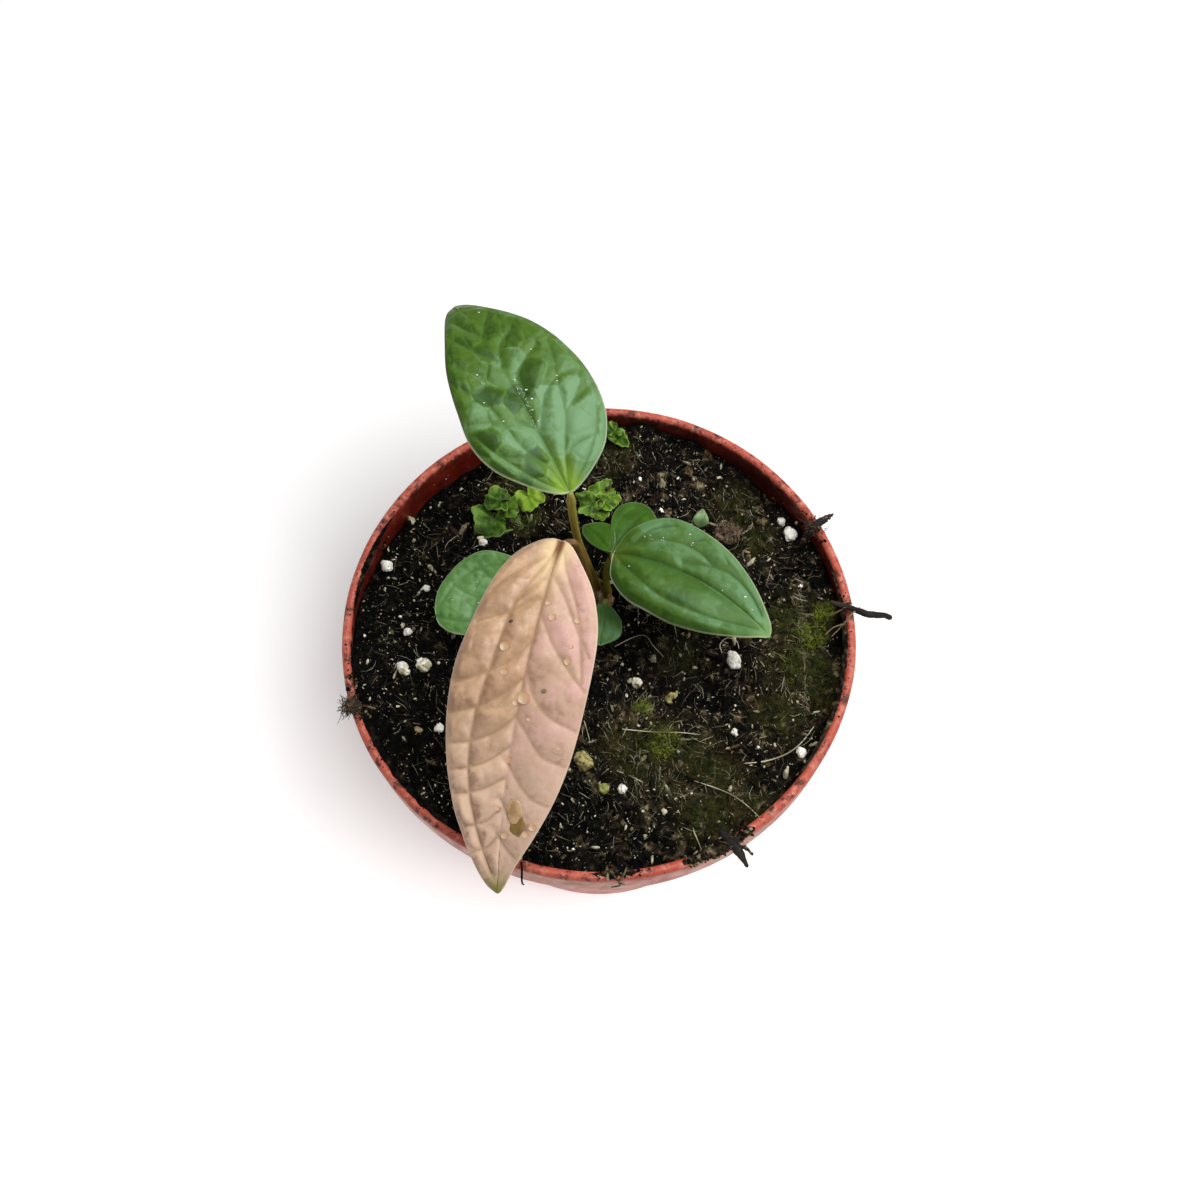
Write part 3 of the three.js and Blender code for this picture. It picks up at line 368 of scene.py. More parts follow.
# The long fibres, as points on the soil, with radius and height above it
FIBRES = [
    ([(19.2, -18.7), (22.1, -18.5), (24.8, -17.6), (26.9, -16), (28.9, -13.4)], 0.13, 0.75),
    ([(12.6, -21), (16.8, -22.8), (19.2, -24.4), (21.2, -26.3)], 0.1, 0.7),
    ([(2.1, -1.8), (5.1, -0.4), (6.5, -0.4), (7.5, -1.8), (8.9, -3.3)], 0.08, 0.6),
    ([(2.7, -13.7), (6.9, -14.3), (10.9, -14.4), (13.6, -14.6)], 0.1, 0.75),
    ([(12.3, -27.7), (13.2, -30.2), (13.7, -31.8)], 0.09, 0.7),
    ([(14.3, -30.2), (15.4, -29.2), (17.1, -28.4), (19.1, -29), (19.9, -29.8)], 0.08, 0.8),
    ([(2.4, -19.6), (4.1, -20.4), (5.9, -21.2)], 0.12, 0.6),
    ([(-2, -12.5), (-1.2, -15.4)], 0.08, 0.6),
    ([(16.9, -2.9), (16.6, -1.7), (17.6, -0.8), (18.9, -1.2), (19.2, -2.2)], 0.1, 0.9),
]

# Water on the leaves: blade, drops as (u, v, radius), and the direction in which they glow: the drops'
# painted highlight and glow lie on the side away from the light.
DROPS = [
    (BRONZE, [
        (10.9, -1.7, 0.5), (10.7, -4.8, 0.42), (15.7, 3, 0.62), (14, -4.8, 0.3), (15.8, -4.8, 0.5),
        (18.7, 2.4, 0.5), (21.2, -0.6, 0.85), (22, 0.5, 0.4), (23.6, -1.7, 0.28), (29, 0.2, 0.6),
        (26.4, -5.9, 0.3), (36.9, -3.9, 0.5), (38.1, -3.2, 0.42), (9.2, -0.8, 0.4), (35.1, 0.6, 0.4),
        (38.6, -0.6, 0.45)]),
    (UPPER, [
        (27.3, 1.9, 0.26), (18.4, -3, 0.3), (14.6, -4.1, 0.22), (11.4, -3.2, 0.3), (13.7, 1.3, 0.42),
        (12.4, 1.3, 0.36), (15.6, 0.7, 0.3), (11.1, 0.7, 0.25), (18.3, 4.5, 0.24), (13.6, 5.5, 0.3),
        (13, 5.1, 0.22), (9.6, 0.6, 0.2)]),
    (RIGHT, [
        (8.6, -5.2, 0.3), (9.4, -4.3, 0.28), (3, 1.8, 0.26), (18.4, -1.6, 0.36), (20.1, -0.9, 0.22),
        (3.6, -2.9, 0.2), (5.8, -3.5, 0.22), (15.6, -0.5, 0.2)]),
    (LOW_LEFT, [(12.6, 1, 0.2), (9.6, -0.9, 0.32), (8.6, 1.9, 0.26), (13.6, -2.6, 0.2)]),
]
AWAY_FROM_LIGHT = (-0.75, -0.6, -0.1)
# Wet glitter along a vein, as white specks that are painted glints: blade, from u to u, about v, specks
GLITTER = [(UPPER, 8, 10.6, 0.15, 18), (UPPER, 10.6, 14.8, 0.55, 48), (UPPER, 16.5, 18.5, -3, 10),
           (UPPER, 12.6, 14.8, -4, 8), (RIGHT, 3.4, 6, -3, 16), (RIGHT, 8, 9.6, -3.9, 6),
           (LOW_LEFT, 8, 13, 1.2, 14)]
# Thin pools on the bronze leaf: place (u, v), size, brightness; the bright one is a painted glare on the
# water
POOLS = [((37, -2), 1.35, 0), ((35.3, -1.5), 1.35, 1)]
# Bits of soil on the bronze leaf: place (u, v), radius, brightness
LEAF_BITS = [((12.6, 3), 0.26, 0.5), ((19.9, -2.8), 0.34, 1)]

# Root at the right that lies over the rim: its own line, then those of its rootlets
TWIG_LINES = [
    [(31.6, 3.6, 56.7), (34.2, 2.6, 57.05), (36.2, 1.7, 57.15), (37.6, 1.45, 57.15), (38.8, 1.35, 57.3),
     (39.8, 0.85, 57.4)],
    [(35.6, 2.6, 57.3), (34.2, 1.4, 57.1), (33.2, 0.4, 55.9), (31.7, -0.9, 54.9)],
    [(33.4, 0.6, 56), (32, 0.3, 55.4), (30.9, -0.6, 54.9)],
    [(34.6, 3.4, 57), (33, 2.4, 56.6), (31.4, 2, 55.4)],
]

# Crumbs on the rim: direction and half-width in degrees, how many, how far out they reach
RIM_CRUMBS = [(-86, 7, 70, 1.1), (-63, 8, 170, 1.6), (-108, 3, 24, 0.9), (197, 6, 150, 1.2),
              (27, 5, 60, 0.8), (5, 4, 40, 0.7), (-25, 40, 150, 0.1), (160, 45, 180, 0.1), (70, 50, 150, 0.1),
              (-140, 35, 190, 0.15)]
# Soil that lies along the lip: from one direction to another in degrees, radius, half-width, brightness
RIM_SPILLS = [(183, 252, 33.6, 0.42, 0.24), (-38, 18, 33.5, 0.34, 0.4), (-72, -54, 34.35, 0.95, 0.42),
              (150, 176, 33.6, 0.35, 0.24), (-92, -80, 34.15, 0.42, 0.36)]
# Roots that hang over the front of the lip: brightness, radius, points
RIM_ROOTS = [
    (0.1, 0.15, [(-9.9, -32.4, 56), (-9.8, -33.4, 56.35), (-9.8, -34.4, 56), (-9.8, -34.95, 54.9),
                 (-9.6, -34.9, 53.7)]),
    (0.6, 0.14, [(3.6, -33.2, 56.1), (3.2, -34.2, 56.25), (2.6, -34.95, 55.6), (2.7, -35.15, 54.4),
                 (1.6, -35.1, 53.2)]),
    (0.55, 0.12, [(1.2, -33.4, 56.2), (2, -34.4, 56.2), (2.6, -35, 55.3), (3.4, -35, 54.2)]),
]

# Sockets of a node that mixes colours: share, first and second colour, and its result
MIX_INPUTS = (0, 6, 7)
MIX_RESULT = 2


# Numbers and curves

def lerp(a, b, t):
    return a + (b - a) * t


def dome(x):
    """A rise from 0 at x = 0, steep at first, to 1 at x = 1."""
    return 1 - (1 - np.clip(x, 0, 1)) ** 2


def lattice(i, j, seed):
    """A repeatable number from 0 to 1 for each corner of a lattice."""
    wave = np.sin(i * 127.1 + j * 311.7 + seed * 74.7) * 43758.5453
    return wave - np.floor(wave)


def noise(x, y, seed):
    """Smooth noise from -1 to 1 over the plane."""
    i = np.floor(x)
    j = np.floor(y)
    fx = (x - i) ** 2 * (3 - 2 * (x - i))
    fy = (y - j) ** 2 * (3 - 2 * (y - j))
    near = lerp(lattice(i, j, seed), lattice(i + 1, j, seed), fx)
    far = lerp(lattice(i, j + 1, seed), lattice(i + 1, j + 1, seed), fx)
    return 2 * lerp(near, far, fy) - 1


def noise3(points, size, seed):
    """Smooth noise from -1 to 1 in space, with features of one size."""
    x, y, z = (points / size).T
    k = np.floor(z)
    f = (z - k) ** 2 * (3 - 2 * (z - k))
    return lerp(noise(x, y, k + 31 * seed), noise(x, y, k + 1 + 31 * seed), f)


def unit(vectors):
    return vectors / np.maximum(np.linalg.norm(vectors, axis=-1, keepdims=True), 1e-12)


def round_angles(count):
    """Angles of points spaced evenly round a ring."""
    return np.linspace(0, 2 * np.pi, count, endpoint=False)


def reaches(line):
    """Length along a polyline at each of its points."""
    return np.concatenate([[0], np.cumsum(np.linalg.norm(np.diff(line, axis=0), axis=1))])


def between(at, knots, rows):
    """Rows of a table, interpolated between its knots."""
    return np.stack([np.interp(at, knots, column) for column in rows.T], -1)


def smooth_path(points, count):
    """Evenly spaced points on a smooth curve through points."""
    p = np.array(points, float)
    ends = np.vstack([2 * p[0] - p[1], p, 2 * p[-1] - p[-2]])
    t = np.linspace(0, 1, 24, endpoint=False)[:, None]
    spans = []
    for a, b, c, d in zip(ends, ends[1:], ends[2:], ends[3:]):
        square = (2 * a - 5 * b + 4 * c - d) * t ** 2
        cube = (3 * b - a - 3 * c + d) * t ** 3
        spans.append(0.5 * (2 * b + (c - a) * t + square + cube))
    line = np.vstack(spans + [p[-1:]])
    reach = reaches(line)
    return between(np.linspace(0, 1, count) * reach[-1], reach, line)


def distance_to(line, u, v):
    """Distance from points (u, v) to a polyline."""
    best = np.full(np.shape(u), 1e9)
    for (au, av), (bu, bv) in zip(line, line[1:]):
        du, dv = bu - au, bv - av
        t = np.clip(((u - au) * du + (v - av) * dv) / (du * du + dv * dv), 0, 1)
        best = np.minimum(best, np.hypot(u - au - t * du, v - av - t * dv))
    return best


# Meshes

class Shape:
    """Closed bodies gathered into one mesh: points, faces, and fields with a value at each point."""

    def __init__(self):
        self.points = []
        self.faces = []
        self.fields = {}
        self.count = 0

    def add(self, points, faces, **fields):
        self.points.append(points)
        self.faces += [f + self.count for f in faces]
        for name, value in fields.items():
            filled = np.broadcast_to(np.asarray(value, float), len(points))
            self.fields.setdefault(name, []).append((self.count, filled))
        self.count += len(points)

    def build(self, name, material, slot, replaces=(), sharp=False):
        """The object, riding on the body and standing for the solids that it replaces."""
        mesh = bpy.data.meshes.new(name)
        points = np.concatenate(self.points)
        corners = np.concatenate([f.ravel() for f in self.faces])
        sizes = np.concatenate([np.full(len(f), f.shape[1]) for f in self.faces])
        starts = np.concatenate([[0], np.cumsum(sizes)[:-1]])
        mesh.vertices.add(len(points))
        mesh.vertices.foreach_set("co", (points * MM).astype(np.float32).ravel())
        mesh.loops.add(len(corners))
        mesh.loops.foreach_set("vertex_index", corners.astype(np.int32))
        mesh.polygons.add(len(sizes))
        mesh.polygons.foreach_set("loop_start", starts.astype(np.int32))
        mesh.update(calc_edges=True)
        mesh.polygons.foreach_set("use_smooth", np.full(len(sizes), not sharp))
        for field, parts in self.fields.items():
            values = np.zeros(len(points), np.float32)
            for start, filled in parts:
                values[start:start + len(filled)] = filled
            mesh.attributes.new(field, "FLOAT", "POINT").data.foreach_set("value", values)
        mesh.materials.append(material)
        obj = bpy.data.objects.new(name, mesh)
        bpy.context.scene.collection.objects.link(obj)
        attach(obj, BODY)
        if replaces:
            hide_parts(*replaces)
        return obj


def grid_faces(rows, columns):
    """Quads over rows of points whose ends join."""
    i, j = np.meshgrid(np.arange(rows - 1), np.arange(columns), indexing="ij")
    k = (j + 1) % columns
    corners = [i * columns + j, i * columns + k, (i + 1) * columns + k, (i + 1) * columns + j]
    return np.stack(corners, -1).reshape(-1, 4)


def outwards(points, faces):
    """The faces of a closed body, turned outwards."""
    volume = 0.0
    middle = points.mean(0)
    for f in faces:
        p = points[f] - middle
        for k in range(1, f.shape[1] - 1):
            volume += np.einsum("ij,ij->i", p[:, 0], np.cross(p[:, k], p[:, k + 1])).sum()
    return faces if volume > 0 else [f[:, ::-1] for f in faces]


def skin(rings):
    """A closed body over rings of points, with a point at the middle of each end."""
    rows, sides = rings.shape[:2]
    points = np.concatenate([rings.reshape(-1, 3), rings[:1].mean(1), rings[-1:].mean(1)])
    j = np.arange(sides)
    k = (j + 1) % sides
    last = (rows - 1) * sides
    start = np.stack([np.full(sides, rows * sides), k, j], -1)
    end = np.stack([np.full(sides, rows * sides + 1), last + j, last + k], -1)
    return points, outwards(points, [grid_faces(rows, sides), start, end])


def tube(points, radii, sides, steps, relief=None):
    """A rod along a smooth curve, rounded at its ends, and the share along it at each point.
    relief(share, angle) scales its radius."""
    path = smooth_path(points, steps + 1)
    tangents = unit(np.gradient(path, axis=0))
    upright = abs(tangents[0][2]) >= 0.9
    normal = unit(np.cross(tangents[0], [1.0, 0.2, 0.0] if upright else [0.3, 0.1, 1.0]))
    angle = round_angles(sides)
    share = np.linspace(0, 1, steps + 1)
    radius = np.interp(share, np.linspace(0, 1, len(radii)), radii)
    ends = np.minimum(share, 1 - share) * reaches(path)[-1]
    radius = radius * np.sqrt(np.clip(dome(ends / radius), 0.12, 1))
    rings = []
    for i, (centre, tangent) in enumerate(zip(path, tangents)):
        normal = unit(normal - tangent * (normal @ tangent))
        round_centre = np.outer(np.cos(angle), normal) + np.outer(np.sin(angle), np.cross(tangent, normal))
        reach = radius[i] * (relief(share[i], angle) if relief else np.ones(sides))
        rings.append(centre + reach[:, None] * round_centre)
    body, faces = skin(np.array(rings))
    return body, faces, np.concatenate([np.repeat(share, sides), [0, 1]])


def add_rod(shape, *form, **fields):
    """Adds a tube and gives back its points. A field is a value or a function of the share along it."""
    body, faces, share = tube(*form)
    shape.add(body, faces, **{name: f(share) if callable(f) else f for name, f in fields.items()})
    return body


@functools.cache
def ball(subdivisions):
    """Points and faces of an icosphere, or of an octahedron for 0."""
    if subdivisions == 0:
        points = np.array([[1, 0, 0], [0, 1, 0], [-1, 0, 0], [0, -1, 0], [0, 0, 1], [0, 0, -1]], float)
        k = np.arange(4)
        upper = np.stack([k, (k + 1) % 4, np.full(4, 4)], -1)
        lower = np.stack([(k + 1) % 4, k, np.full(4, 5)], -1)
        return points, np.concatenate([upper, lower])
    bm = bmesh.new()
    bmesh.ops.create_icosphere(bm, subdivisions=subdivisions, radius=1)
    bm.verts.ensure_lookup_table()
    points = np.array([v.co for v in bm.verts])
    faces = np.array([[v.index for v in f.verts] for f in bm.faces])
    bm.free()
    return points, faces


def spins(rng, count):
    """Random turns as matrices."""
    w, x, y, z = unit(rng.normal(size=(count, 4))).T
    rows = [[1 - 2 * (y * y + z * z), 2 * (x * y - z * w), 2 * (x * z + y * w)],
            [2 * (x * y + z * w), 1 - 2 * (x * x + z * z), 2 * (y * z - x * w)],
            [2 * (x * z - y * w), 2 * (y * z + x * w), 1 - 2 * (x * x + y * y)]]
    return np.moveaxis(np.array(rows), -1, 0)


def add_crumbs(shape, rng, centres, sizes, subdivisions, roughness, **fields):
    """Rough turned lumps at centres, with three half-widths and a value of each field for each."""
    points, faces = ball(subdivisions)
    count, per = len(centres), len(points)
    bump = 1 + roughness * rng.uniform(-1, 1, size=(count, per, 1))
    lumps = points[None] * bump * sizes[:, None, :]
    lumps = np.einsum("nij,nkj->nki", spins(rng, count), lumps) + centres[:, None, :]
    all_faces = (faces[None] + (np.arange(count) * per)[:, None, None]).reshape(-1, 3)
    spread = {name: np.repeat(np.broadcast_to(value, count), per) for name, value in fields.items()}
    shape.add(lumps.reshape(-1, 3), [all_faces], **spread)


# Soil surface

def soil_level(x, y):
    """Height of the soil without its clods."""
    radius = np.hypot(x, y)
    direction = np.degrees(np.arctan2(y, x))
    z = np.full(np.shape(x), SOIL_LEVEL)
    for at, height, width in SOIL_MOUNDS:
        turn = (direction - at + 180) % 360 - 180
        z = z + height * np.exp(-(turn / width) ** 2) * (radius / SOIL_RADIUS) ** 2
    return z


def ground_at(x, y):
    """Height of the soil at one place, as a plain number."""
    return float(soil_level(x, y))


def packed_grains(x, y, size, seed):
    """Height from 0 to 1 of rounded grains packed over the plane, and a number for each grain."""
    x, y = x / size, y / size
    nearest = np.full(np.shape(x), 9.0)
    number = np.zeros(np.shape(x))
    for di, dj in itertools.product((-1, 0, 1), repeat=2):
        i, j = np.floor(x) + di, np.floor(y) + dj
        px = i + 0.1 + 0.8 * lattice(i, j, seed)
        py = j + 0.1 + 0.8 * lattice(i, j, seed + 0.5)
        away = np.hypot(x - px, y - py) / (0.5 + 0.5 * lattice(i, j, seed + 0.7))
        number = np.where(away < nearest, lattice(i, j, seed + 0.3), number)
        nearest = np.minimum(away, nearest)
    return np.sqrt(np.clip(1 - nearest ** 2, 0, 1)), number


def soil_top(x, y):
    """Height of the soil with its clods and grains."""
    z = soil_level(x, y)
    for size, height, seed in CLODS:
        z = z + height * noise(x / size, y / size, seed)
    for size, height, seed in SOIL_GRAINS:
        z = z + height * (packed_grains(x, y, size, seed)[0] - 0.4)
    return z


def on_soil(x, y, up):
    """Points at a height above the soil."""
    return np.stack([x, y, soil_top(x, y) + up], -1)


def random_places(rng, count, radius):
    """Places spread evenly over a round patch about the origin."""
    angle = rng.uniform(0, 2 * np.pi, count)
    r = radius * np.sqrt(rng.uniform(0, 1, count))
    return r * np.cos(angle), r * np.sin(angle)


# Materials

class Paint:
    """A node material, with short calls for its nodes. Its base colour is laid on in coats."""

    def __init__(self, name):
        self.material = bpy.data.materials.new(name)
        self.material.use_nodes = True
        self.tree = self.material.node_tree
        self.tree.nodes.clear()
        self.shader = self.node("BsdfPrincipled")
        output = self.node("OutputMaterial")
        self.tree.links.new(self.shader.outputs["BSDF"], output.inputs["Surface"])
        self.place = self.node("TexCoord").outputs["Object"]
        self.base = None

    def node(self, kind, inputs=(), **settings):
        node = self.tree.nodes.new("ShaderNode" + kind)
        for key, value in settings.items():
            setattr(node, key, value)
        for key, value in dict(inputs).items():
            self.plug(node.inputs[key], value)
        return node

    def plug(self, socket, value):
        """Gives a socket another node's output, a colour or a number."""
        if isinstance(value, bpy.types.NodeSocket):
            self.tree.links.new(value, socket)
        elif isinstance(value, str):
            socket.default_value = colour(value)
        else:
            socket.default_value = value

    def field(self, name):
        return self.node("Attribute", attribute_name=name).outputs["Fac"]

    def noise(self, size, detail=2, rough=0.55):
        inputs = {"Vector": self.place, "Scale": 1 / (size * MM), "Detail": detail, "Roughness": rough}
        return self.node("TexNoise", inputs).outputs["Fac"]

    def cells(self, size):
        """Distance to the nearest of scattered points, in cells of a size."""
        inputs = {"Vector": self.place, "Scale": 1 / (size * MM)}
        return self.node("TexVoronoi", inputs).outputs["Distance"]

    def math(self, operation, a, b=0.0):
        return self.node("Math", {0: a, 1: b}, operation=operation).outputs[0]

    def times(self, a, b):
        return self.math("MULTIPLY", a, b)

    def plus(self, a, b):
        return self.math("ADD", a, b)

    def fade(self, value, low, high, start=0, end=1):
        """value carried from low..high to start..end, smoothly."""
        inputs = {"Value": value, "From Min": low, "From Max": high, "To Min": start, "To Max": end}
        return self.node("MapRange", inputs, interpolation_type="SMOOTHSTEP").outputs["Result"]

    def patches(self, size, detail, low, high, start=0, end=1):
        """Soft patches of a size: noise carried from low..high to start..end."""
        return self.fade(self.noise(size, detail), low, high, start, end)

    def mix(self, share, a, b, blend="MIX"):
        node = self.node("Mix", data_type="RGBA", blend_type=blend)
        for socket, value in zip(MIX_INPUTS, (share, a, b)):
            self.plug(node.inputs[socket], value)
        return node.outputs[MIX_RESULT]

    def coat(self, share, over, blend="MIX"):
        """Lays a colour over the base colour."""
        self.base = self.mix(share, self.base, over, blend)

    def ramp(self, value, *stops):
        node = self.node("ValToRGB", {"Fac": value})
        elements = node.color_ramp.elements
        while len(elements) < len(stops):
            elements.new(0.5)
        for element, (position, hexa) in zip(elements, stops):
            element.position = position
            element.color = colour(hexa)
        return node.outputs["Color"]

    def bump(self, height, strength, depth):
        """Bump of a depth in millimetres, stacked on the bumps before it."""
        node = self.node("Bump", {"Height": height, "Strength": strength, "Distance": depth * MM})
        normal = self.shader.inputs["Normal"]
        if normal.is_linked:
            self.plug(node.inputs["Normal"], normal.links[0].from_socket)
        self.plug(normal, node.outputs["Normal"])

    def finish(self, **sockets):
        """The material, with its base colour and its other sockets set."""
        for name, value in {"base_color": self.base, **sockets}.items():
            self.plug(self.shader.inputs[name.replace("_", " ").title().replace("Ior", "IOR")], value)
        return self.material


def colour(hexa):
    """A colour as the screen shows it, in linear light."""
    parts = [int(hexa[i:i + 2], 16) / 255 for i in (1, 3, 5)]
    return [p / 12.92 if p <= 0.04045 else ((p + 0.055) / 1.055) ** 2.4 for p in parts] + [1.0]


def plastic_paint():
    """Terracotta plastic: darker inside, partly soil stain and partly painted shade in the pot, dusty
    outside, specks of soil on the lip, and paler patches on the lip, partly wear and partly a painted
    highlight.
    """
    p = Paint("terracotta_plastic")
    p.base = p.mix(p.patches(9, 3, 0.3, 0.7), "#a83f2d", "#b85240")
    # Darker inside: partly soil stain, partly painted shade inside the pot.
    p.coat(p.field("inside"), p.mix(p.patches(5, 2, 0.3, 0.7), "#4a0d06", "#7a1f10"))
    dusty = p.times(p.field("outside"), p.patches(9, 5, 0.38, 0.66, 0.25, 0.85))
    p.coat(dusty, p.mix(p.patches(2.2, 5, 0.4, 0.65), "#a8744e", "#80523a"))
    # Paler patches along the lip: partly wear, partly a painted highlight on its top edge.
    p.coat(p.times(p.patches(1.1, 4, 0.48, 0.66, 0.1, 0.65), p.field("lip")), "#cf8672")
    film = p.fade(p.plus(p.noise(1.8, 6, 0.7), p.times(p.field("dirt"), 0.12)), 0.62, 0.74)
    p.coat(p.times(film, 0.85), "#2d1710")
    p.coat(p.times(p.fade(p.cells(0.8), 0.2, 0.1), p.patches(3, 4, 0.46, 0.56, 0, 0.8)), "#20110b")
    p.bump(p.noise(0.5, 4), 0.25, 0.06)
    p.bump(p.noise(4), 0.4, 0.15)
    return p.finish(roughness=p.patches(2, 4, 0.3, 0.7, 0.36, 0.6), specular_ior_level=0.4)


@functools.cache
def soil_paint():
    """Damp peat: brown to tan on the grains and black between them, greener where moss grows; the black
    follows the low places of the bumps, partly as painted shade.
    """
    p = Paint("damp_soil")
    # One noise makes both the colour and the bumps, so the black in its low places is partly painted shade
    # between the grains.
    grains = p.noise(0.5, 5, 0.7)
    light = p.plus(p.times(grains, 0.55), p.times(p.field("tone"), 0.75))
    p.base = p.ramp(light, (0.34, "#010101"), (0.48, "#070503"), (0.58, "#1f1810"), (0.7, "#4c4330"),
                    (0.84, "#958d70"), (0.97, "#d2cdb0"))
    p.coat(p.patches(7, 2, 0.54, 0.64, 0, 0.35), "#ffb08c", "MULTIPLY")
    p.coat(p.times(p.field("moss"), p.patches(1.2, 4, 0.3, 0.6)), "#413e16")
    p.bump(grains, 1, 0.2)
    p.bump(p.noise(0.16, 3), 0.7, 0.06)
    return p.finish(roughness=p.patches(0.7, 3, 0.36, 0.5, 0.25, 0.85), specular_ior_level=0.12)


@functools.cache
def perlite_paint():
    """Chalky white grains with grey pits and a green or amber stain."""
    p = Paint("perlite")
    p.base = p.mix(p.patches(0.5, 4, 0.35, 0.68), "#dedacc", "#fffdf6")
    p.coat(p.times(p.fade(p.cells(0.34), 0.28, 0.12), 0.5), "#8a8674")
    p.coat(p.times(p.field("tone"), p.patches(0.9, 2, 0.4, 0.6)), "#8f8446")
    p.bump(p.noise(0.2, 4), 0.6, 0.06)
    return p.finish(roughness=0.85)


def granule_paint():
    """Porous yellowish granules, darker in their pores, greenish in patches."""
    p = Paint("granule")
    p.base = p.mix(p.patches(0.6, 5, 0.32, 0.68), "#5f5530", "#b7ab6f")
    p.coat(p.fade(p.cells(0.55), 0.3, 0.1), "#352d18")
    p.coat(p.patches(1.6, 2, 0.55, 0.7), "#7d8a42")
    p.bump(p.cells(0.4), 0.8, 0.12)
    return p.finish(roughness=0.75)


def bark_paint():
    """Dark bark and root scraps, streaked brown."""
    p = Paint("bark")
    light = p.plus(p.times(p.noise(0.5, 5, 0.7), 0.6), p.times(p.field("tone"), 0.5))
    p.base = p.ramp(light, (0.28, "#0b0806"), (0.46, "#2a221a"), (0.66, "#5c4832"), (0.95, "#a08a62"))
    p.bump(p.noise(0.25, 4), 0.8, 0.1)
    return p.finish(roughness=0.7)


def fibre_paint():
    """Thin dry roots, from dark brown to cream."""
    p = Paint("dry_root")
    p.base = p.ramp(p.field("tone"), (0, "#2a2114"), (0.4, "#5b533a"), (0.75, "#989073"), (1, "#d2ccb2"))
    return p.finish(roughness=0.5)


def root_paint():
    """The stem and thick roots, tan with brown rings."""
    p = Paint("stem_and_roots")
    p.base = p.mix(p.patches(0.8, 4, 0.35, 0.65), "#7a5a38", "#c2a27a")
    p.coat(p.field("tone"), "#4b3522")
    p.bump(p.noise(0.3, 4), 0.6, 0.1)
    return p.finish(roughness=0.6)


def moss_paint():
    """Moss leaves, from nearly black at the foot to yellow-green."""
    p = Paint("moss_leaves")
    p.base = p.ramp(p.field("tone"), (0, "#10150a"), (0.3, "#2c3512"), (0.6, "#5b6a1c"), (1, "#a8b53a"))
    return p.finish(roughness=0.6, specular_ior_level=0.3)


def weed_paint():
    """Soft green lobes, paler at the very edge, with a painted highlight on their folds and painted shade in
    the hollows and the middle.
    """
    p = Paint("weed_leaf")
    fold, edge = p.field("fold"), p.field("edge")
    p.base = p.mix(p.patches(0.8, 4, 0.35, 0.65), "#263f06", "#42660e")
    p.coat(p.times(p.field("tone"), 0.85), "#86a82a")
    # Painted highlight on the raised folds and painted shade in their hollows; paler at the very edge, with
    # painted shade towards the middle of each lobe.
    p.coat(p.fade(fold, 0.5, 0.9, 0, 0.5), "#7aa238")
    p.coat(p.fade(fold, 0.5, 0.1, 0, 0.6), "#172804")
    p.coat(p.fade(edge, 0.9, 1, 0, 0.6), "#93b652")
    p.coat(p.fade(edge, 0.35, 0, 0, 0.5), "#1a2a06")
    p.bump(p.noise(0.4, 4), 0.5, 0.1)
    return p.finish(roughness=0.4, specular_ior_level=0.3, subsurface_weight=0.1,
                    subsurface_scale=LEAF_SCATTER)


def stalk_paint(name, low, high, flush):
    """A leaf stalk: one colour at the crown, one at the blade, flushed in streaks along it."""
    p = Paint(name)
    p.base = p.mix(p.field("share"), low, high)
    streak = p.node("Mapping", {"Vector": p.place, "Scale": (1500, 1500, 160)}).outputs["Vector"]
    grain = p.node("TexNoise", {"Vector": streak, "Scale": 1, "Detail": 3}).outputs["Fac"]
    p.coat(p.fade(grain, 0.4, 0.65, 0, 0.6), flush)
    p.bump(grain, 0.5, 0.05)
    return p.finish(roughness=0.36, subsurface_weight=0.1, subsurface_scale=LEAF_SCATTER)


def lay_painted_light(p, light, dark, most):
    """Painted sheen and painted shade: lightens the panels that shine and darkens those that don't, broken
    into small patches.
    """
    small = p.node("TexVoronoi", {"Vector": p.place, "Scale": 800})
    p.bump(small.outputs["Distance"], 0.5, -0.09)
    patch = p.node("SeparateColor", {"Color": small.outputs["Color"]}).outputs["Red"]
    shine_share = p.plus(p.field("bloom"), p.patches(0.7, 5, 0.3, 0.7, -0.16, 0.16))
    shine_share = p.plus(shine_share, p.times(p.math("SUBTRACT", patch, 0.5), 0.3))
    p.coat(p.fade(shine_share, 0, 1, 0, most), light)
    p.coat(p.fade(shine_share, 0, -0.7, 0, 0.85), dark)


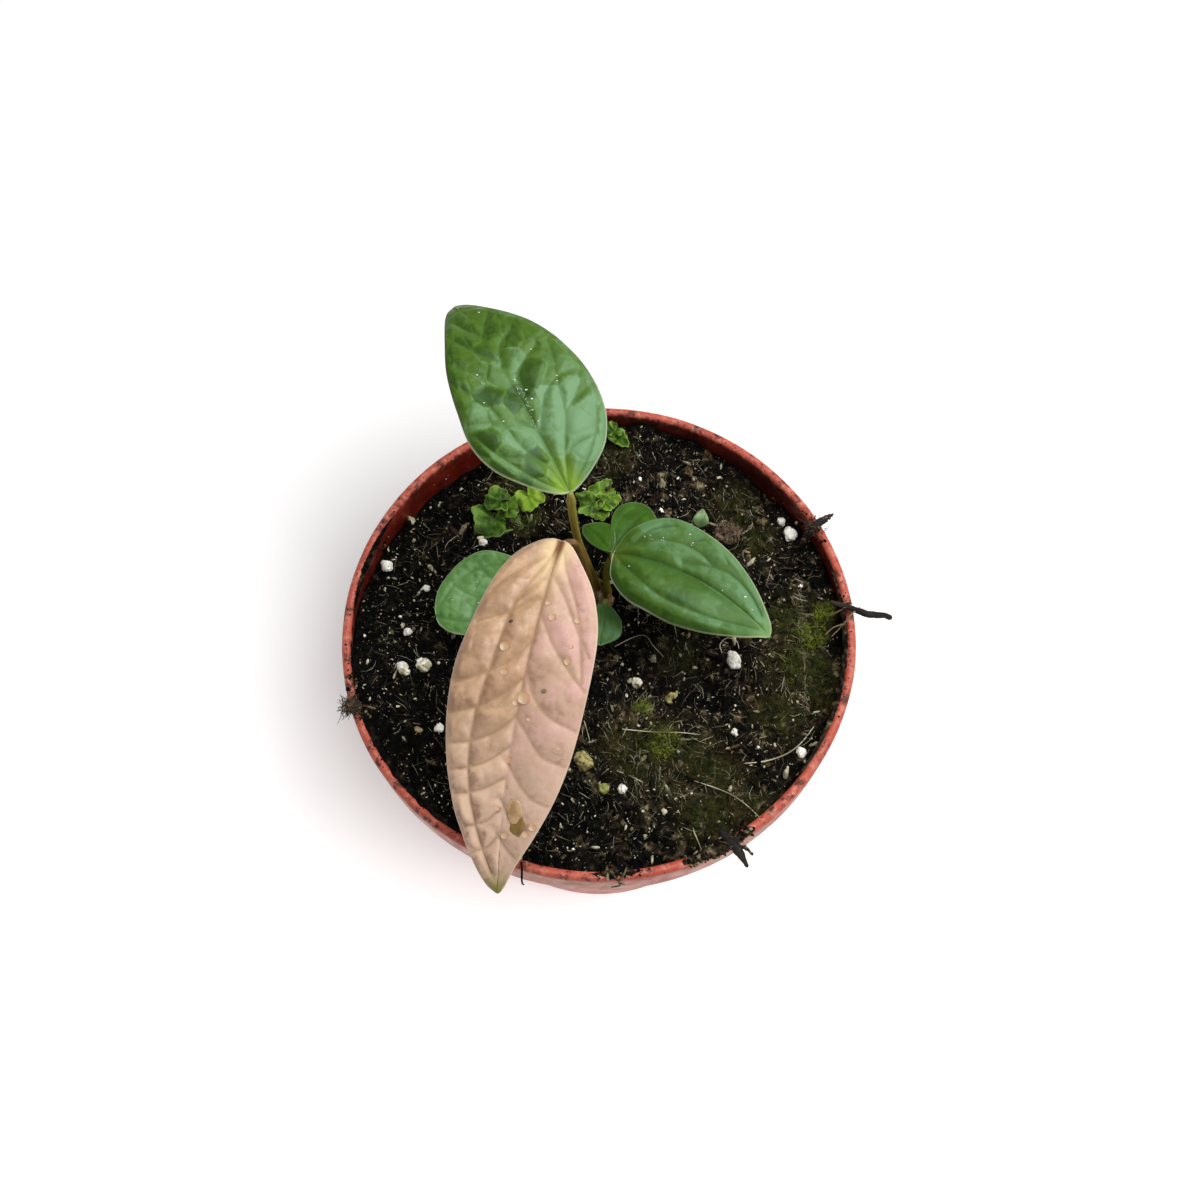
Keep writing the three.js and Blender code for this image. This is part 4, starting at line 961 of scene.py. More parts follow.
def leaf_paint(name, panel, base, margin, under, rib, gloss=0.3, shine=0.6, shine_tint="#ffffff",
               other=None, tip=None, dull=None, blush=None, lobe=None, mark=None, band=None, bloom=None):
    """A leaf blade. panel and other colour the halves on either side of the midrib, as (deep, light);
    the darker other half of the bronze leaf is partly painted shade on the half that faces away from
    the light. blush adds a flush in patches. base, dull and tip are (colour, share along the blade)
    where each takes over. margin is (colour on one side, colour on the other, colour towards the tip,
    width). under is the lower face, rib the veins, also laid in their grooves partly as painted shade,
    mark the start of the midrib, band a strip of painted shade beside it, and lobe the back lobes,
    darker partly as painted shade. The painted sheen and painted shade of the panels are (lightest,
    darkest, most of the lightest). gloss is the roughness, and shine and shine_tint are the strength
    and colour of what it reflects."""
    p = Paint(name)
    side, share, pillow, lobes = (p.field(field) for field in ("side", "share", "pillow", "lobe"))
    across = p.math("ABSOLUTE", side)
    mottle = p.patches(3.2, 4, 0.35, 0.68)
    p.base = p.mix(mottle, *panel)
    if blush:
        p.coat(p.patches(5, 2, 0.46, 0.62, 0, 0.6), blush)
    # The bronze leaf's darker half is partly painted shade on the half that faces away from the light.
    if other:
        p.coat(p.fade(side, -0.04, 0.1, 0, 0.85), p.mix(mottle, *other))
    if dull:
        p.coat(p.fade(share, dull[1], dull[1] + 0.35, 0, 0.75), dull[0])
    p.coat(p.patches(0.8, 4, 0.45, 0.7, 0, 0.3), panel[0])
    if bloom:
        lay_painted_light(p, *bloom)
    # Vein colour in the grooves between the panels, partly painted shade in the creases.
    p.coat(p.fade(pillow, 0.4, 0, 0, 0.5), rib)
    # A strip of painted shade beside the midrib.
    if band:
        beside = p.times(p.fade(side, 0, 0.03), p.fade(side, 0.26, 0.1))
        p.coat(p.times(beside, p.fade(share, 0.9, 0.6, 0, 0.8)), band)
    p.coat(p.times(p.fade(share, base[1], 0), p.fade(across, 0.36, 0.03)), base[0])
    p.coat(p.times(p.field("rib"), p.fade(share, 0.7, 0.1, 0.1, 0.55)), rib)
    if tip:
        p.coat(p.fade(share, tip[1], 1), tip[0])
    # Darker back lobes: partly their own colour, partly painted shade.
    if lobe:
        p.coat(lobes, p.mix(mottle, *lobe))
    if mark:
        p.coat(p.times(p.fade(across, 0.09, 0.03), p.fade(share, 0.1, 0.03)), mark)
    edge = p.mix(p.fade(side, -0.1, 0.1), margin[0], margin[1])
    edge = p.mix(p.fade(share, 0.32, 0.5), edge, margin[2])
    plain = p.math("SUBTRACT", 1, p.times(lobes, 0.75))
    p.coat(p.times(p.fade(p.field("rim"), margin[3], 0.02), plain), edge)
    p.coat(p.field("under"), p.mix(p.fade(pillow, 0.4, 0), under, base[0]))
    p.bump(p.noise(0.5, 4), 0.45, 0.06)
    dry = p.fade(pillow, 0.3, 0, 0, 0.25)
    rough = p.plus(p.patches(1.6, 3, 0.3, 0.7, gloss, gloss + 0.1), dry)
    return p.finish(roughness=rough, specular_ior_level=shine, specular_tint=shine_tint,
                    subsurface_weight=0.08, subsurface_scale=LEAF_SCATTER)


def water_paint():
    """Clear drops on a pale leaf, with painted light: painted darker towards the light, and a painted bright
    crescent away from it that also glows.
    """
    p = Paint("water_drop")
    tone = p.field("tone")
    p.base = p.ramp(tone, (0, "#c09468"), (0.35, "#dcb48c"), (0.65, "#f2d8b4"), (1, "#fffdf4"))
    # A painted glow in the bright crescent.
    glow = p.ramp(tone, (0.55, "#000000"), (1, "#c8a888"))
    return p.finish(roughness=0.15, specular_ior_level=0.08, alpha=0.5, emission_color=glow,
                    emission_strength=0.6)


def glint_paint():
    """Specks of water painted white, as glints that flash on the dark leaves."""
    p = Paint("water_glint")
    p.base = p.mix(p.noise(0.3), "#dcecd6", "#ffffff")
    return p.finish(roughness=0.1)


def water_film_paint():
    """A thin pool that darkens the leaf to amber, and a paler one that is a painted glare on the water."""
    p = Paint("water_film")
    p.base = p.mix(p.patches(0.8, 3, 0.35, 0.65), "#7c5f2c", "#96763f")
    p.coat(p.field("tone"), p.mix(p.patches(1.2, 3, 0.4, 0.6), "#a88258", "#c6a27c"))
    return p.finish(roughness=0.05, coat_weight=0.6, coat_roughness=0.02)


# Pot

def arc(centre, radius, start, end, count=5):
    """Points on an arc, angles in degrees."""
    angles = np.radians(np.linspace(start, end, count))
    return [(centre[0] + radius * math.cos(a), centre[1] + radius * math.sin(a)) for a in angles]


def pot_profile():
    """The pot's section as (radius, height), from the middle of the base outwards, up and back in."""
    collar_radius = RIM_RADIUS - COLLAR_TAPER
    lip = LIP_WIDTH / 2
    return [
        (0, 0), (HUB_RADIUS - 0.2, 0), (HUB_RADIUS + DRAIN_RECESS, DRAIN_RECESS),
        (FOOT_RADIUS - DRAIN_RECESS, DRAIN_RECESS), (FOOT_RADIUS, 0.12), (FOOT_RADIUS + 0.15, 0),
        *arc((BASE_RADIUS - BASE_ROUND, BASE_ROUND), BASE_ROUND, -90, 0),
        *[(lerp(BASE_RADIUS, BODY_RADIUS, t), lerp(BASE_ROUND, COLLAR_FOOT, t)) for t in (0.3, 0.65)],
        (BODY_RADIUS - 0.12, COLLAR_FOOT - 0.4), (BODY_RADIUS, COLLAR_FOOT),
        *arc((collar_radius - COLLAR_EDGE, COLLAR_FOOT + COLLAR_EDGE), COLLAR_EDGE, -90, 0),
        (lerp(collar_radius, RIM_RADIUS, 0.3), COLLAR_FOOT + 1.8),
        (lerp(collar_radius, RIM_RADIUS, 0.7), COLLAR_FOOT + 4.2),
        *arc((RIM_RADIUS - lip + 0.02, POT_HEIGHT - lip), lip, 0, 180, 9),
        (BODY_RADIUS + 0.22, COLLAR_FOOT + 2.0), (BODY_RADIUS + 0.2, COLLAR_FOOT + COLLAR_EDGE),
        (BODY_RADIUS - WALL, COLLAR_FOOT - WALL),
        (lerp(BASE_RADIUS, BODY_RADIUS, 0.5) - WALL, lerp(FLOOR, COLLAR_FOOT, 0.5)),
        (BASE_RADIUS - WALL, FLOOR + BASE_ROUND), (BASE_RADIUS - WALL - BASE_ROUND, FLOOR), (0, FLOOR),
    ]


def refine(profile, longest):
    """A profile with no step longer than longest."""
    points = []
    for (r0, z0), (r1, z1) in zip(profile, profile[1:]):
        steps = max(1, math.ceil(math.hypot(r1 - r0, z1 - z0) / longest))
        points += [(lerp(r0, r1, k / steps), lerp(z0, z1, k / steps)) for k in range(steps)]
    return np.array(points + [profile[-1]])


def make_pot():
    """The pot, a little out of round towards its rim."""
    radius, height = refine(pot_profile(), POT_STEP)[1:-1].T
    a, r = np.meshgrid(round_angles(POT_SIDES), radius)
    z = np.repeat(height[:, None], POT_SIDES, 1)
    top = np.clip((z - 40) / 16, 0, 1)
    waver = top * (0.06 * np.sin(2 * a + 0.6) + 0.05 * np.sin(5 * a + 2))
    waver = waver + top * 0.04 * noise(6 * np.cos(a) + z / 5, 6 * np.sin(a), 21)
    points, faces = skin(np.stack([(r + waver) * np.cos(a), (r + waver) * np.sin(a), z], -1))
    points[-2:] = [[0, 0, 0], [0, 0, FLOOR]]
    order = np.arange(len(radius))
    crest = int(np.argmax(height))
    collar = np.clip((height - COLLAR_FOOT) / COLLAR_HEIGHT, 0, 1)
    lip = np.exp(-((height - POT_HEIGHT) / 0.6) ** 2)
    dusty = (1 - lip) * np.where(collar > 0, 1.0, 0.4)
    fields = {
        "inside": order > crest + 2,
        "outside": np.where((order < crest) & (height > 1), dusty, 0),
        "lip": lip,
        "dirt": np.where(order <= crest + 3, collar, 0.6),
    }
    fields = {name: np.append(np.repeat(rows, POT_SIDES), [0, 0]) for name, rows in fields.items()}
    shape = Shape()
    shape.add(points, faces, **fields)
    drill_base(shape.build("nursery_pot", plastic_paint(), "pot_plastic", ["pot"]))


def drill_base(pot):
    """Cuts the round drain holes in the base."""
    drills = Shape()
    angle = round_angles(32)
    for i in range(DRAIN_HOLES):
        turn = 2 * math.pi * (i + 0.5) / DRAIN_HOLES
        x = DRAIN_CIRCLE * math.cos(turn) + DRAIN_DIAMETER / 2 * np.cos(angle)
        y = DRAIN_CIRCLE * math.sin(turn) + DRAIN_DIAMETER / 2 * np.sin(angle)
        drills.add(*skin(np.array([np.stack([x, y, 0 * x + z], -1) for z in (-1.0, 1.4, 3.2)])))
    tool = drills.build("drain_drill", pot.data.materials[0], "pot_plastic")
    cut = pot.modifiers.new("drain", "BOOLEAN")
    cut.operation = "DIFFERENCE"
    cut.solver = "EXACT"
    cut.object = tool
    bpy.context.view_layer.update()
    drilled = bpy.data.meshes.new_from_object(pot.evaluated_get(bpy.context.evaluated_depsgraph_get()))
    pot.modifiers.clear()
    pot.data = drilled
    bpy.data.objects.remove(tool)


# Soil

def moss_share(x, y):
    """How mossy the soil is at a place."""
    share = np.zeros(np.shape(x))
    for (mx, my), radius, _, bright in MOSS:
        near = np.exp(-((x - mx) ** 2 + (y - my) ** 2) / (1.3 * radius) ** 2)
        share = np.maximum(share, near * (0.5 + 0.5 * bright))
    return share


def make_soil():
    """The soil as one body: an even grid laid over a disc, closed by its buried sides."""
    edge = BODY_RADIUS + 0.18
    a, b = np.meshgrid(*2 * [np.linspace(-1, 1, SOIL_CELLS + 1)], indexing="ij")
    x, y = edge * a * np.sqrt(1 - b * b / 2), edge * b * np.sqrt(1 - a * a / 2)
    points = [np.stack([x, y, soil_top(x, y)], -1).reshape(-1, 3)]
    index = np.arange(len(points[0])).reshape(SOIL_CELLS + 1, SOIL_CELLS + 1)
    faces = [np.stack([index[:-1, :-1], index[1:, :-1], index[1:, 1:], index[:-1, 1:]], -1).reshape(-1, 4)]
    border = np.concatenate([index[:-1, 0], index[-1, :-1], index[:0:-1, -1], index[0, :0:-1]])
    outline = points[0][border, :2] / edge
    loop = border
    wall = BASE_RADIUS - WALL
    for radius, height in ((BODY_RADIUS - WALL - 0.1, COLLAR_FOOT - WALL), (wall - 0.1, FLOOR + 1.2),
                           (wall - 1.2, FLOOR + 0.1)):
        below = sum(map(len, points)) + np.arange(len(border))
        faces.append(np.stack([loop, below, np.roll(below, -1), np.roll(loop, -1)], -1))
        points.append(np.column_stack([outline * radius, np.full(len(border), height)]))
        loop = below
    centre = np.full(len(border), sum(map(len, points)))
    faces.append(np.stack([np.roll(loop, -1), loop, centre], -1))
    points = np.concatenate(points + [np.array([[0, 0, FLOOR + 0.1]])])
    x, y = points[:, 0], points[:, 1]
    tone = sum(share * packed_grains(x, y, size, seed)[1] ** 2
               for share, (size, _, seed) in zip((0.42, 0.3), SOIL_GRAINS))
    tone = tone * lerp(0.66, 1.0, np.clip((x + 14) / 18, 0, 1))
    shape = Shape()
    shape.add(points, outwards(points, faces), tone=tone, moss=moss_share(x, y))
    shape.build("soil_body", soil_paint(), "soil_mix", ["soil"])


def make_crumbs():
    """Peat over the soil: chips and flakes, from dust to 1.2 mm."""
    for name, count, low, high, subdivisions, seed, dark in CRUMBS:
        rng = np.random.default_rng(seed)
        x, y = random_places(rng, count, BODY_RADIUS - 0.2)
        size = low + (high - low) * rng.uniform(0, 1, count) ** 2.2
        sizes = size[:, None] * rng.uniform([0.15, 0.3, 0.5], [0.7, 1.2, 2.2], (count, 3))
        tones = rng.uniform(0, 1, count) ** dark
        shape = Shape()
        add_crumbs(shape, rng, on_soil(x, y, 0.3 * size), sizes, subdivisions, 0.35,
                   tone=tones, moss=moss_share(x, y))
        shape.build(name, soil_paint(), "soil_mix", sharp=subdivisions < 2)


def make_specks():
    """Perlite dust and small bits of it."""
    rng = np.random.default_rng(13)
    count = 380
    x, y = random_places(rng, count, BODY_RADIUS - 0.8)
    size = 0.04 + 0.26 * rng.uniform(0, 1, count) ** 4.5
    sizes = size[:, None] * rng.uniform(0.5, 1.3, (count, 3))
    shape = Shape()
    add_crumbs(shape, rng, on_soil(x, y, 0.5 * size + 0.12), sizes, 1, 0.35,
               tone=rng.uniform(0, 1, count) ** 2)
    shape.build("perlite_dust", perlite_paint(), "perlite")


def short_fibre(rng, x, y):
    """Points of a short bent fibre that lies on the soil about a place, mostly along its neighbours."""
    length = 0.5 + 2.6 * rng.uniform() ** 2
    turn = -0.9 + 1.5 * float(noise(x / 7, y / 7, 9)) + rng.normal(0, 0.7)
    bend = 0.48 * rng.uniform(-1.0, 1.0) ** 3
    steps = np.linspace(-0.5, 0.5, 4) * length
    px = x + steps * math.cos(turn) + bend * steps ** 2 * math.sin(turn)
    py = y + steps * math.sin(turn) - bend * steps ** 2 * math.cos(turn)
    inside = np.minimum(1, (BODY_RADIUS - 0.6) / np.maximum(np.hypot(px, py), 1e-6))
    px, py = px * inside, py * inside
    return np.column_stack([px, py, soil_top(px, py) + 0.1 + rng.uniform(0, 0.5, 4)])


def make_fibres():
    """Dry roots and hairs on the soil: the long ones, and many short ones, a third of them on moss."""
    shape = Shape()
    for places, radius, up in FIBRES:
        flat = smooth_path(places, 14)
        lift = up * np.sin(np.pi * np.linspace(0.1, 0.9, 14))
        line = np.column_stack([flat, soil_level(*flat.T) + 0.3 + lift])
        add_rod(shape, line, [0.7 * radius, 0.8 * radius, 0.4 * radius], 6, 40,
                tone=lambda share: 0.8 + 0.2 * np.sin(9 * share))
    rng = np.random.default_rng(14)
    count = 3300
    x, y = random_places(rng, count, BODY_RADIUS - 2.0)
    mossy = rng.integers(0, len(MOSS), count)
    for k in range(0, count, 3):
        middle, radius = MOSS[mossy[k]][:2]
        x[k], y[k] = np.clip(rng.normal(middle, 1.3 * radius), -23, 28)
    for place in zip(x, y):
        line = short_fibre(rng, *place)
        radius = 0.016 + 0.03 * rng.uniform() ** 2.5
        add_rod(shape, line, [radius, radius, 0.5 * radius], 3, 4, tone=rng.uniform(0.0, 1.0) ** 1.3)
    shape.build("dry_roots", fibre_paint(), "bark")


def leaflet(base, tip, width, normal):
    """A slim pointed leaf of a moss, closed, four-sided in section."""
    middle = lerp(base, tip, 0.42)
    side = unit(np.cross(tip - base, normal)) * width
    up = unit(np.cross(side, tip - base)) * width * 0.35
    points = np.stack([base, middle + side, middle + up, middle - side, middle - up, tip])
    ring = [(1, 2), (2, 3), (3, 4), (4, 1)]
    faces = np.array([(0, a, b) for a, b in ring] + [(5, b, a) for a, b in ring])
    return points, outwards(points, [faces])


def make_moss():
    """Moss tufts: each a burst of hair-thin pointed leaves."""
    rng = np.random.default_rng(15)
    shape = Shape()
    for (mx, my), radius, tufts, bright in MOSS:
        dx, dy = random_places(rng, int(2.4 * tufts), radius)
        for x, y in zip(mx + dx, my + dy):
            if math.hypot(x, y) > BODY_RADIUS - 0.8:
                continue
            foot = on_soil(x, y, 0)
            tone = np.clip(bright * rng.uniform(0.4, 1.15), 0, 1)
            for _ in range(MOSS_LEAVES):
                push = unit(rng.normal(0, 0.75, 3) + [0, 0, 1.0]) * rng.uniform(0.45, 1.25)
                base = foot + [*rng.normal(0, 0.12, 2), 0]
                width = rng.uniform(0.025, 0.05)
                points, faces = leaflet(base, base + push, width, np.array([0.2, 0.1, 1.0]))
                shape.add(points, faces, tone=tone * np.array([0.35, 0.8, 0.8, 0.8, 0.8, 1.0]))
    shape.build("moss_tufts", moss_paint(), "weed")


# Leaves

class Blade:
    """A leaf blade on its midrib. Places on it are (u along, v across)."""

    def __init__(self, spec):
        vars(self).update(USUAL, **spec)
        t = np.linspace(0, 1, 401)[:, None]
        a, b, c, d = np.array(self.rib, float)
        self.line = (1 - t) ** 3 * a + 3 * (1 - t) ** 2 * t * b + 3 * (1 - t) * t ** 2 * c + t ** 3 * d
        self.reach = reaches(self.line)
        self.length = self.reach[-1]
        self.tangent = unit(np.gradient(self.line, axis=0))
        sides = sorted((self.left, self.right), key=lambda margin: margin[1][1])
        ends = (self.length, 0)
        self.margins = [smooth_path([(0, 0), *margin, ends], MARGIN_POINTS) for margin in sides]
        self.vein_lines = [smooth_path(vein, 14) for vein in self.veins]
        self.scatter_cells()

    def scatter_cells(self):
        """The panels between the small veins: middles, tilts along and across, and the painted sheen or shade
        of each.
        """
        rng = np.random.default_rng(int(self.length * 10))
        u, v = np.meshgrid(np.arange(-2, self.length + 2, self.cell), np.arange(-12, 12, self.cell))
        jitter = rng.uniform(-0.42, 0.42, (2,) + u.shape) * self.cell
        self.cells = np.stack([(u + jitter[0]).ravel(), (v + jitter[1]).ravel()], -1)
        self.tilts = self.cell_tilt * rng.uniform(-1, 1, self.cells.shape)
        for fu, fv, clear, *tilt in self.facets:
            free = np.hypot(*(self.cells - [fu, fv]).T) > clear
            self.cells = np.concatenate([self.cells[free], [[fu, fv]]])
            self.tilts = np.concatenate([self.tilts[free], [tilt]])
        # Painted sheen on panels tilted towards the light and painted shade on those tilted away, then more
        # of each about the sheen spots.
        self.bloom = 2.6 * (self.tilts[:, 0] - self.tilts[:, 1])
        for su, sv, radius, amount in self.sheen:
            away = np.hypot(*(self.cells - [su, sv]).T)
            self.bloom = self.bloom + amount * np.exp(-(away / radius) ** 2)

    def cells_at(self, u, v):
        """Distances to the nearest two cells, the nearest one's lean, and the painted sheen or shade of both.
        """
        first, second = np.full((2,) + np.shape(u), 1e9)
        lean, own, next_own = np.zeros((3,) + np.shape(u))
        for (cu, cv), (along_tilt, across_tilt), bloom in zip(self.cells, self.tilts, self.bloom):
            d = np.hypot(u - cu, v - cv)
            lean = np.where(d < first, along_tilt * (u - cu) + across_tilt * (v - cv), lean)
            next_own = np.where(d < first, own, np.where(d < second, bloom, next_own))
            own = np.where(d < first, bloom, own)
            second = np.minimum(second, np.maximum(first, d))
            first = np.minimum(first, d)
        return first, second, lean, own, next_own

    def relief(self, u, v):
        """Pillow share 0..1 between the veins, nearness to the midrib, height of the surface, and the painted
        sheen or shade.
        """
        share = u / self.length
        near = np.abs(v) + self.rib_fade * np.clip(share - 0.35, 0, 1)
        for line in self.vein_lines:
            near = np.minimum(near, distance_to(line, u, v))
        pillow = dome(near / self.vein_width)
        first, second, lean, own, next_own = self.cells_at(u, v)
        border = (second - first) / (BORDER * self.cell)
        bloom = lerp(next_own, own, 0.5 + 0.5 * np.clip(border, 0, 1))
        # A painted highlight along the edges of the brighter panels.
        bloom = bloom + self.edge_light * np.clip(own - next_own, 0, 0.6) * np.exp(-border ** 2)
        crease = dome((second - first) / (self.crisp * self.cell))
        rib = np.exp(-(v / (0.5 * (1.15 - share))) ** 2)
        scale = (1 - self.flat_tip * share) * lerp(self.calm, 1, 1 / (1 + np.exp(-3 * v)))
        groove = 0.2 * self.pillow * rib * np.clip(1.5 - 0.4 * self.rib_fade * share, 0, 1)
        height = self.pillow * pillow + (self.cell_height + lean) * crease * pillow - groove
        return pillow, rib, scale * height, bloom

    def surface(self, u, v):
        """The blade's middle surface without relief, and its normals."""
        inside = np.clip(u, 0, self.length)
        forward = unit(between(inside, self.reach, self.tangent))
        at = between(inside, self.reach, self.line) + (u - inside)[..., None] * forward
        side = unit(np.cross(forward, [0, 0, 1.0]))
        normal = np.cross(side, forward)
        blunt = 0.05 + self.soft_rib * np.clip(u / self.length, 0, 1)
        lift = self.fold * (np.sqrt(v * v + blunt * blunt) - blunt) - self.droop * v * v
        for sign, start, curve in self.skirts:
            lift = lift - curve * np.clip(sign * v - start, 0, None) ** 2
        return at + v[..., None] * side + lift[..., None] * normal, normal

    def inward(self, u, v):
        """Distance inward from the margins."""
        left, right = (distance_to(margin[::8], u, v) for margin in self.margins)
        return np.minimum(left, right)

    def raised(self, u, v):
        """The middle surface with its relief, which fades out towards the margins."""
        point, normal = self.surface(u, v)
        fade = np.clip(self.inward(u, v), 0, 1)
        return point + (self.relief(u, v)[2] * fade)[..., None] * normal

    def top_at(self, u, v, step=0.05):
        """Point and outward normal on the blade's upper face."""
        u, v = np.asarray(u, float), np.asarray(v, float)
        across = self.raised(u, v + step) - self.raised(u, v - step)
        forward = self.raised(u + step, v) - self.raised(u - step, v)
        normal = unit(np.cross(across, forward))
        return self.raised(u, v) + normal * BLADE_THICKNESS / 2, normal

    def grid(self, pitch):
        """A grid over the blade, closer at its ends and margins: shares s along it and q across it, from
        -1 at the left margin to 1, and the places (u, v)."""
        cells = int(max(np.abs(margin[:, 1]).max() for margin in self.margins) / pitch) * 2
        s = np.linspace(-1, 1, int(self.length / pitch))
        s = 0.5 + 0.4985 * lerp(s, np.sin(s * np.pi / 2), 0.25)
        q = np.linspace(-1, 1, cells + 1)
        q = lerp(q, np.sin(q * np.pi / 2), 0.35)
        s, q = np.meshgrid(s, q, indexing="ij")
        evenly = np.linspace(0, 1, MARGIN_POINTS)
        left, right = (between(s, evenly, margin) for margin in self.margins)
        margin = np.where(q[..., None] < 0, left, right)
        return s, q, lerp(s * self.length, margin[..., 0], np.abs(q)), margin[..., 1] * np.abs(q)

    def add_to(self, shape, pitch, lobe=0.0):
        """Adds the blade as one closed body, with an upper and a lower face."""
        s, q, u, v = self.grid(pitch)
        pillow, rib, height, bloom = self.relief(u, v)
        rim = self.inward(u, v)
        point, up = self.surface(u, v)
        wave = 0.16 * noise(u / 2.4, np.sign(v) * 3, 5) * np.clip(1 - rim / 2.0, 0, 1)
        middle = point + (height * np.clip(rim, 0, 1) + wave)[..., None] * up
        smooth = grid_normals(point)
        normal = grid_normals(middle)
        # Painted shade or sheen by the slope of the relief against the light's direction.
        bloom = bloom + self.slope_tone * (normal - smooth) @ SHINE_FROM
        thin_ends = np.clip(3 * np.minimum(s, 1 - s) / 0.02, 0.3, 1)
        half = BLADE_THICKNESS / 2 * np.sqrt(np.clip(1 - np.abs(q) ** 30, 0, 1)) * thin_ends
        keel = 0.3 * rib * np.clip(1.05 - s, 0, 1)
        top = middle + normal * half[..., None]
        under = middle - normal * (half + keel)[..., None]
        points, faces = skin(both_faces(top, under))
        fields = dict(pillow=pillow, rib=rib, share=s, side=v / np.abs(v).max(), rim=rim, bloom=bloom)
        fields = {name: with_ends(both_faces(field, field)) for name, field in fields.items()}
        face = both_faces(np.zeros_like(q), np.ones_like(q))
        shape.add(points, faces, under=np.concatenate([face.ravel(), [0, 0]]), lobe=lobe, **fields)


def grid_normals(points):
    """Normals over a grid of points."""
    return unit(np.cross(np.gradient(points, axis=1), np.gradient(points, axis=0)))


def both_faces(top, under):
    """Rings round a blade: along each row of its upper face and back along the lower one."""
    return np.concatenate([top, under[:, -2:0:-1]], axis=1)


def with_ends(rings):
    """The values of rings one by one, with one more for the middle of each end."""
    return np.concatenate([rings.ravel(), rings[0, :1], rings[-1, :1]])


def make_leaves():
    """The leaf blades. The lobes behind a main blade, and the low front leaf, are the darker kind, partly as
    painted shade where they lie behind and under other leaves.
    """
    paints = {name: leaf_paint(name, **look) for name, look in LEAF_LOOKS.items()}
    for name, look, slot, node, specs, pitch in LEAVES:
        shape = Shape()
        for i, spec in enumerate(specs):
            Blade(spec).add_to(shape, pitch, lobe=float(i > 0 or spec is LOW_FRONT))
        shape.build(name, paints[look], slot, [node])


def make_stalks():
    """Leaf stalks, grooved along one side, thickened where they meet the blade."""
    def section(share, angle):
        groove = 0.13 * np.exp(-((angle - 1.5) / 0.4) ** 2) + 0.1 * np.exp(-((angle - 4.6) / 0.3) ** 2)
        knee = 0.28 * math.exp(-((share - 0.93) / 0.035) ** 2)
        return (1 - groove) * (1 + knee + 0.25 * math.exp(-(share / 0.06) ** 2))

    for name, (points, radii, colours) in STALKS.items():
        steps = max(24, int(reaches(np.array(points))[-1] * 3))
        shape = Shape()
        add_rod(shape, points, radii, 24, steps, section, share=lambda share: share)
        leaf = name.removeprefix("petiole_")
        shape.build("stalk_" + leaf, stalk_paint("stalk_" + leaf, *colours), "leaf_stalk", [name])


def make_crown():
    """The short ringed stem, its dry scale leaves, and the roots below it."""
    def ringed(share, angle):
        return 1 + 0.07 * math.sin(60 * share) + 0.06 * np.sin(3 * angle + 9 * share)

    x, y, top = CROWN
    shape = Shape()
    stem = [(x, y, top), (x + 0.1, y, top - 0.5 * CROWN_DEPTH), (x, y, top - CROWN_DEPTH)]
    add_rod(shape, stem, [0.8 * CROWN_RADIUS, CROWN_RADIUS, CROWN_RADIUS, 1.2], 40, 60, ringed,
            tone=lambda share: 0.4 * (np.sin(60 * share) < -0.4))
    for i, (turn, drop, reach) in enumerate(ROOTS):
        dx, dy = math.cos(math.radians(turn)), math.sin(math.radians(turn))
        start = top - 5 - (i % 3) * 2
        bend = math.radians(turn + (25 if i % 2 else -25))
        line = [(x + dx, y + dy, start), (x + 0.5 * reach * dx, y + 0.5 * reach * dy, start - 0.25 * drop),
                (x + reach * math.cos(bend), y + reach * math.sin(bend), start - drop)]
        add_rod(shape, line, [0.75, 0.6, 0.4], 10, 24, tone=0.1)
    for turn, height, width in SCALE_LEAVES:
        add_scale_leaf(shape, turn, height, width)
    shape.build("crown_and_roots", root_paint(), "root", ["stem_roots"])


def add_scale_leaf(shape, turn, height, width):
    """A dry pointed scale leaf that hugs the stalks."""
    x, y, top = CROWN
    s, a = np.meshgrid(np.linspace(0.02, 0.98, 16), np.linspace(-1, 1, 9), indexing="ij")
    angle = math.radians(turn) + a * (1 - s ** 2) * width / 2.2
    r = 2.45 - 0.7 * s + 0.35 * s ** 3 + 0.1 * noise(4 * s, 3 * a, 8)
    z = top - 1.2 + s * height
    outer, inner = (np.stack([x + k * np.cos(angle), y + k * np.sin(angle), z], -1) for k in (r, r - 0.16))
    points, faces = skin(np.concatenate([outer, inner[:, ::-1]], 1))
    shape.add(points, faces, tone=0.25)


# Weeds

def add_lobe(shape, hub, direction, reach, spread, height, seed, tone=0.0):
    """A kidney-shaped lobe round its hub: notched behind, toothed at its rim, folded in rays."""
    turn = np.linspace(-np.pi, np.pi, 60, endpoint=False)
    t, k = np.meshgrid(turn, np.linspace(0.04, 1, 10))
    outline = (1 - 0.8 * np.exp(-((np.pi - np.abs(t)) / 0.45) ** 2)) * (1 + 0.12 * np.sin(3 * t + seed))
    outline = outline * (0.93 + 0.12 * np.abs(np.sin(5.5 * t + seed)))
    outline = outline * (1 + 0.1 * noise(2.2 * t + 9 * seed, 0 * t, seed))
    forward = reach * k * (outline * np.cos(t) + 0.12)
    across = spread * k * outline * np.sin(t)
    x = hub[0] + forward * math.cos(direction) - across * math.sin(direction)
    y = hub[1] + forward * math.sin(direction) + across * math.cos(direction)
    folds = 0.12 * k * np.cos(6.5 * t + 0.5) + 0.3 * k ** 3 * np.sin(2.5 * t + 2 * seed)
    folds = folds + 0.22 * k * noise(1.6 * t + 5 * seed, 2 * k, seed)
    z = height + 0.12 * reach * k + folds + 0.16 * noise(x / 0.7, y / 0.7, seed)
    half = 0.12 * np.sqrt(1 - (0.98 * k) ** 8)
    top, under = (np.stack([x, y, z + sign * half], -1) for sign in (1, -1))
    points, faces = skin(np.concatenate([top, under[::-1]]))
    edge, fold = (np.concatenate([f.ravel(), f[::-1].ravel(), [0, 0]]) for f in (k, folds))
    shape.add(points, faces, edge=edge, fold=0.5 + 2.0 * fold, tone=tone)


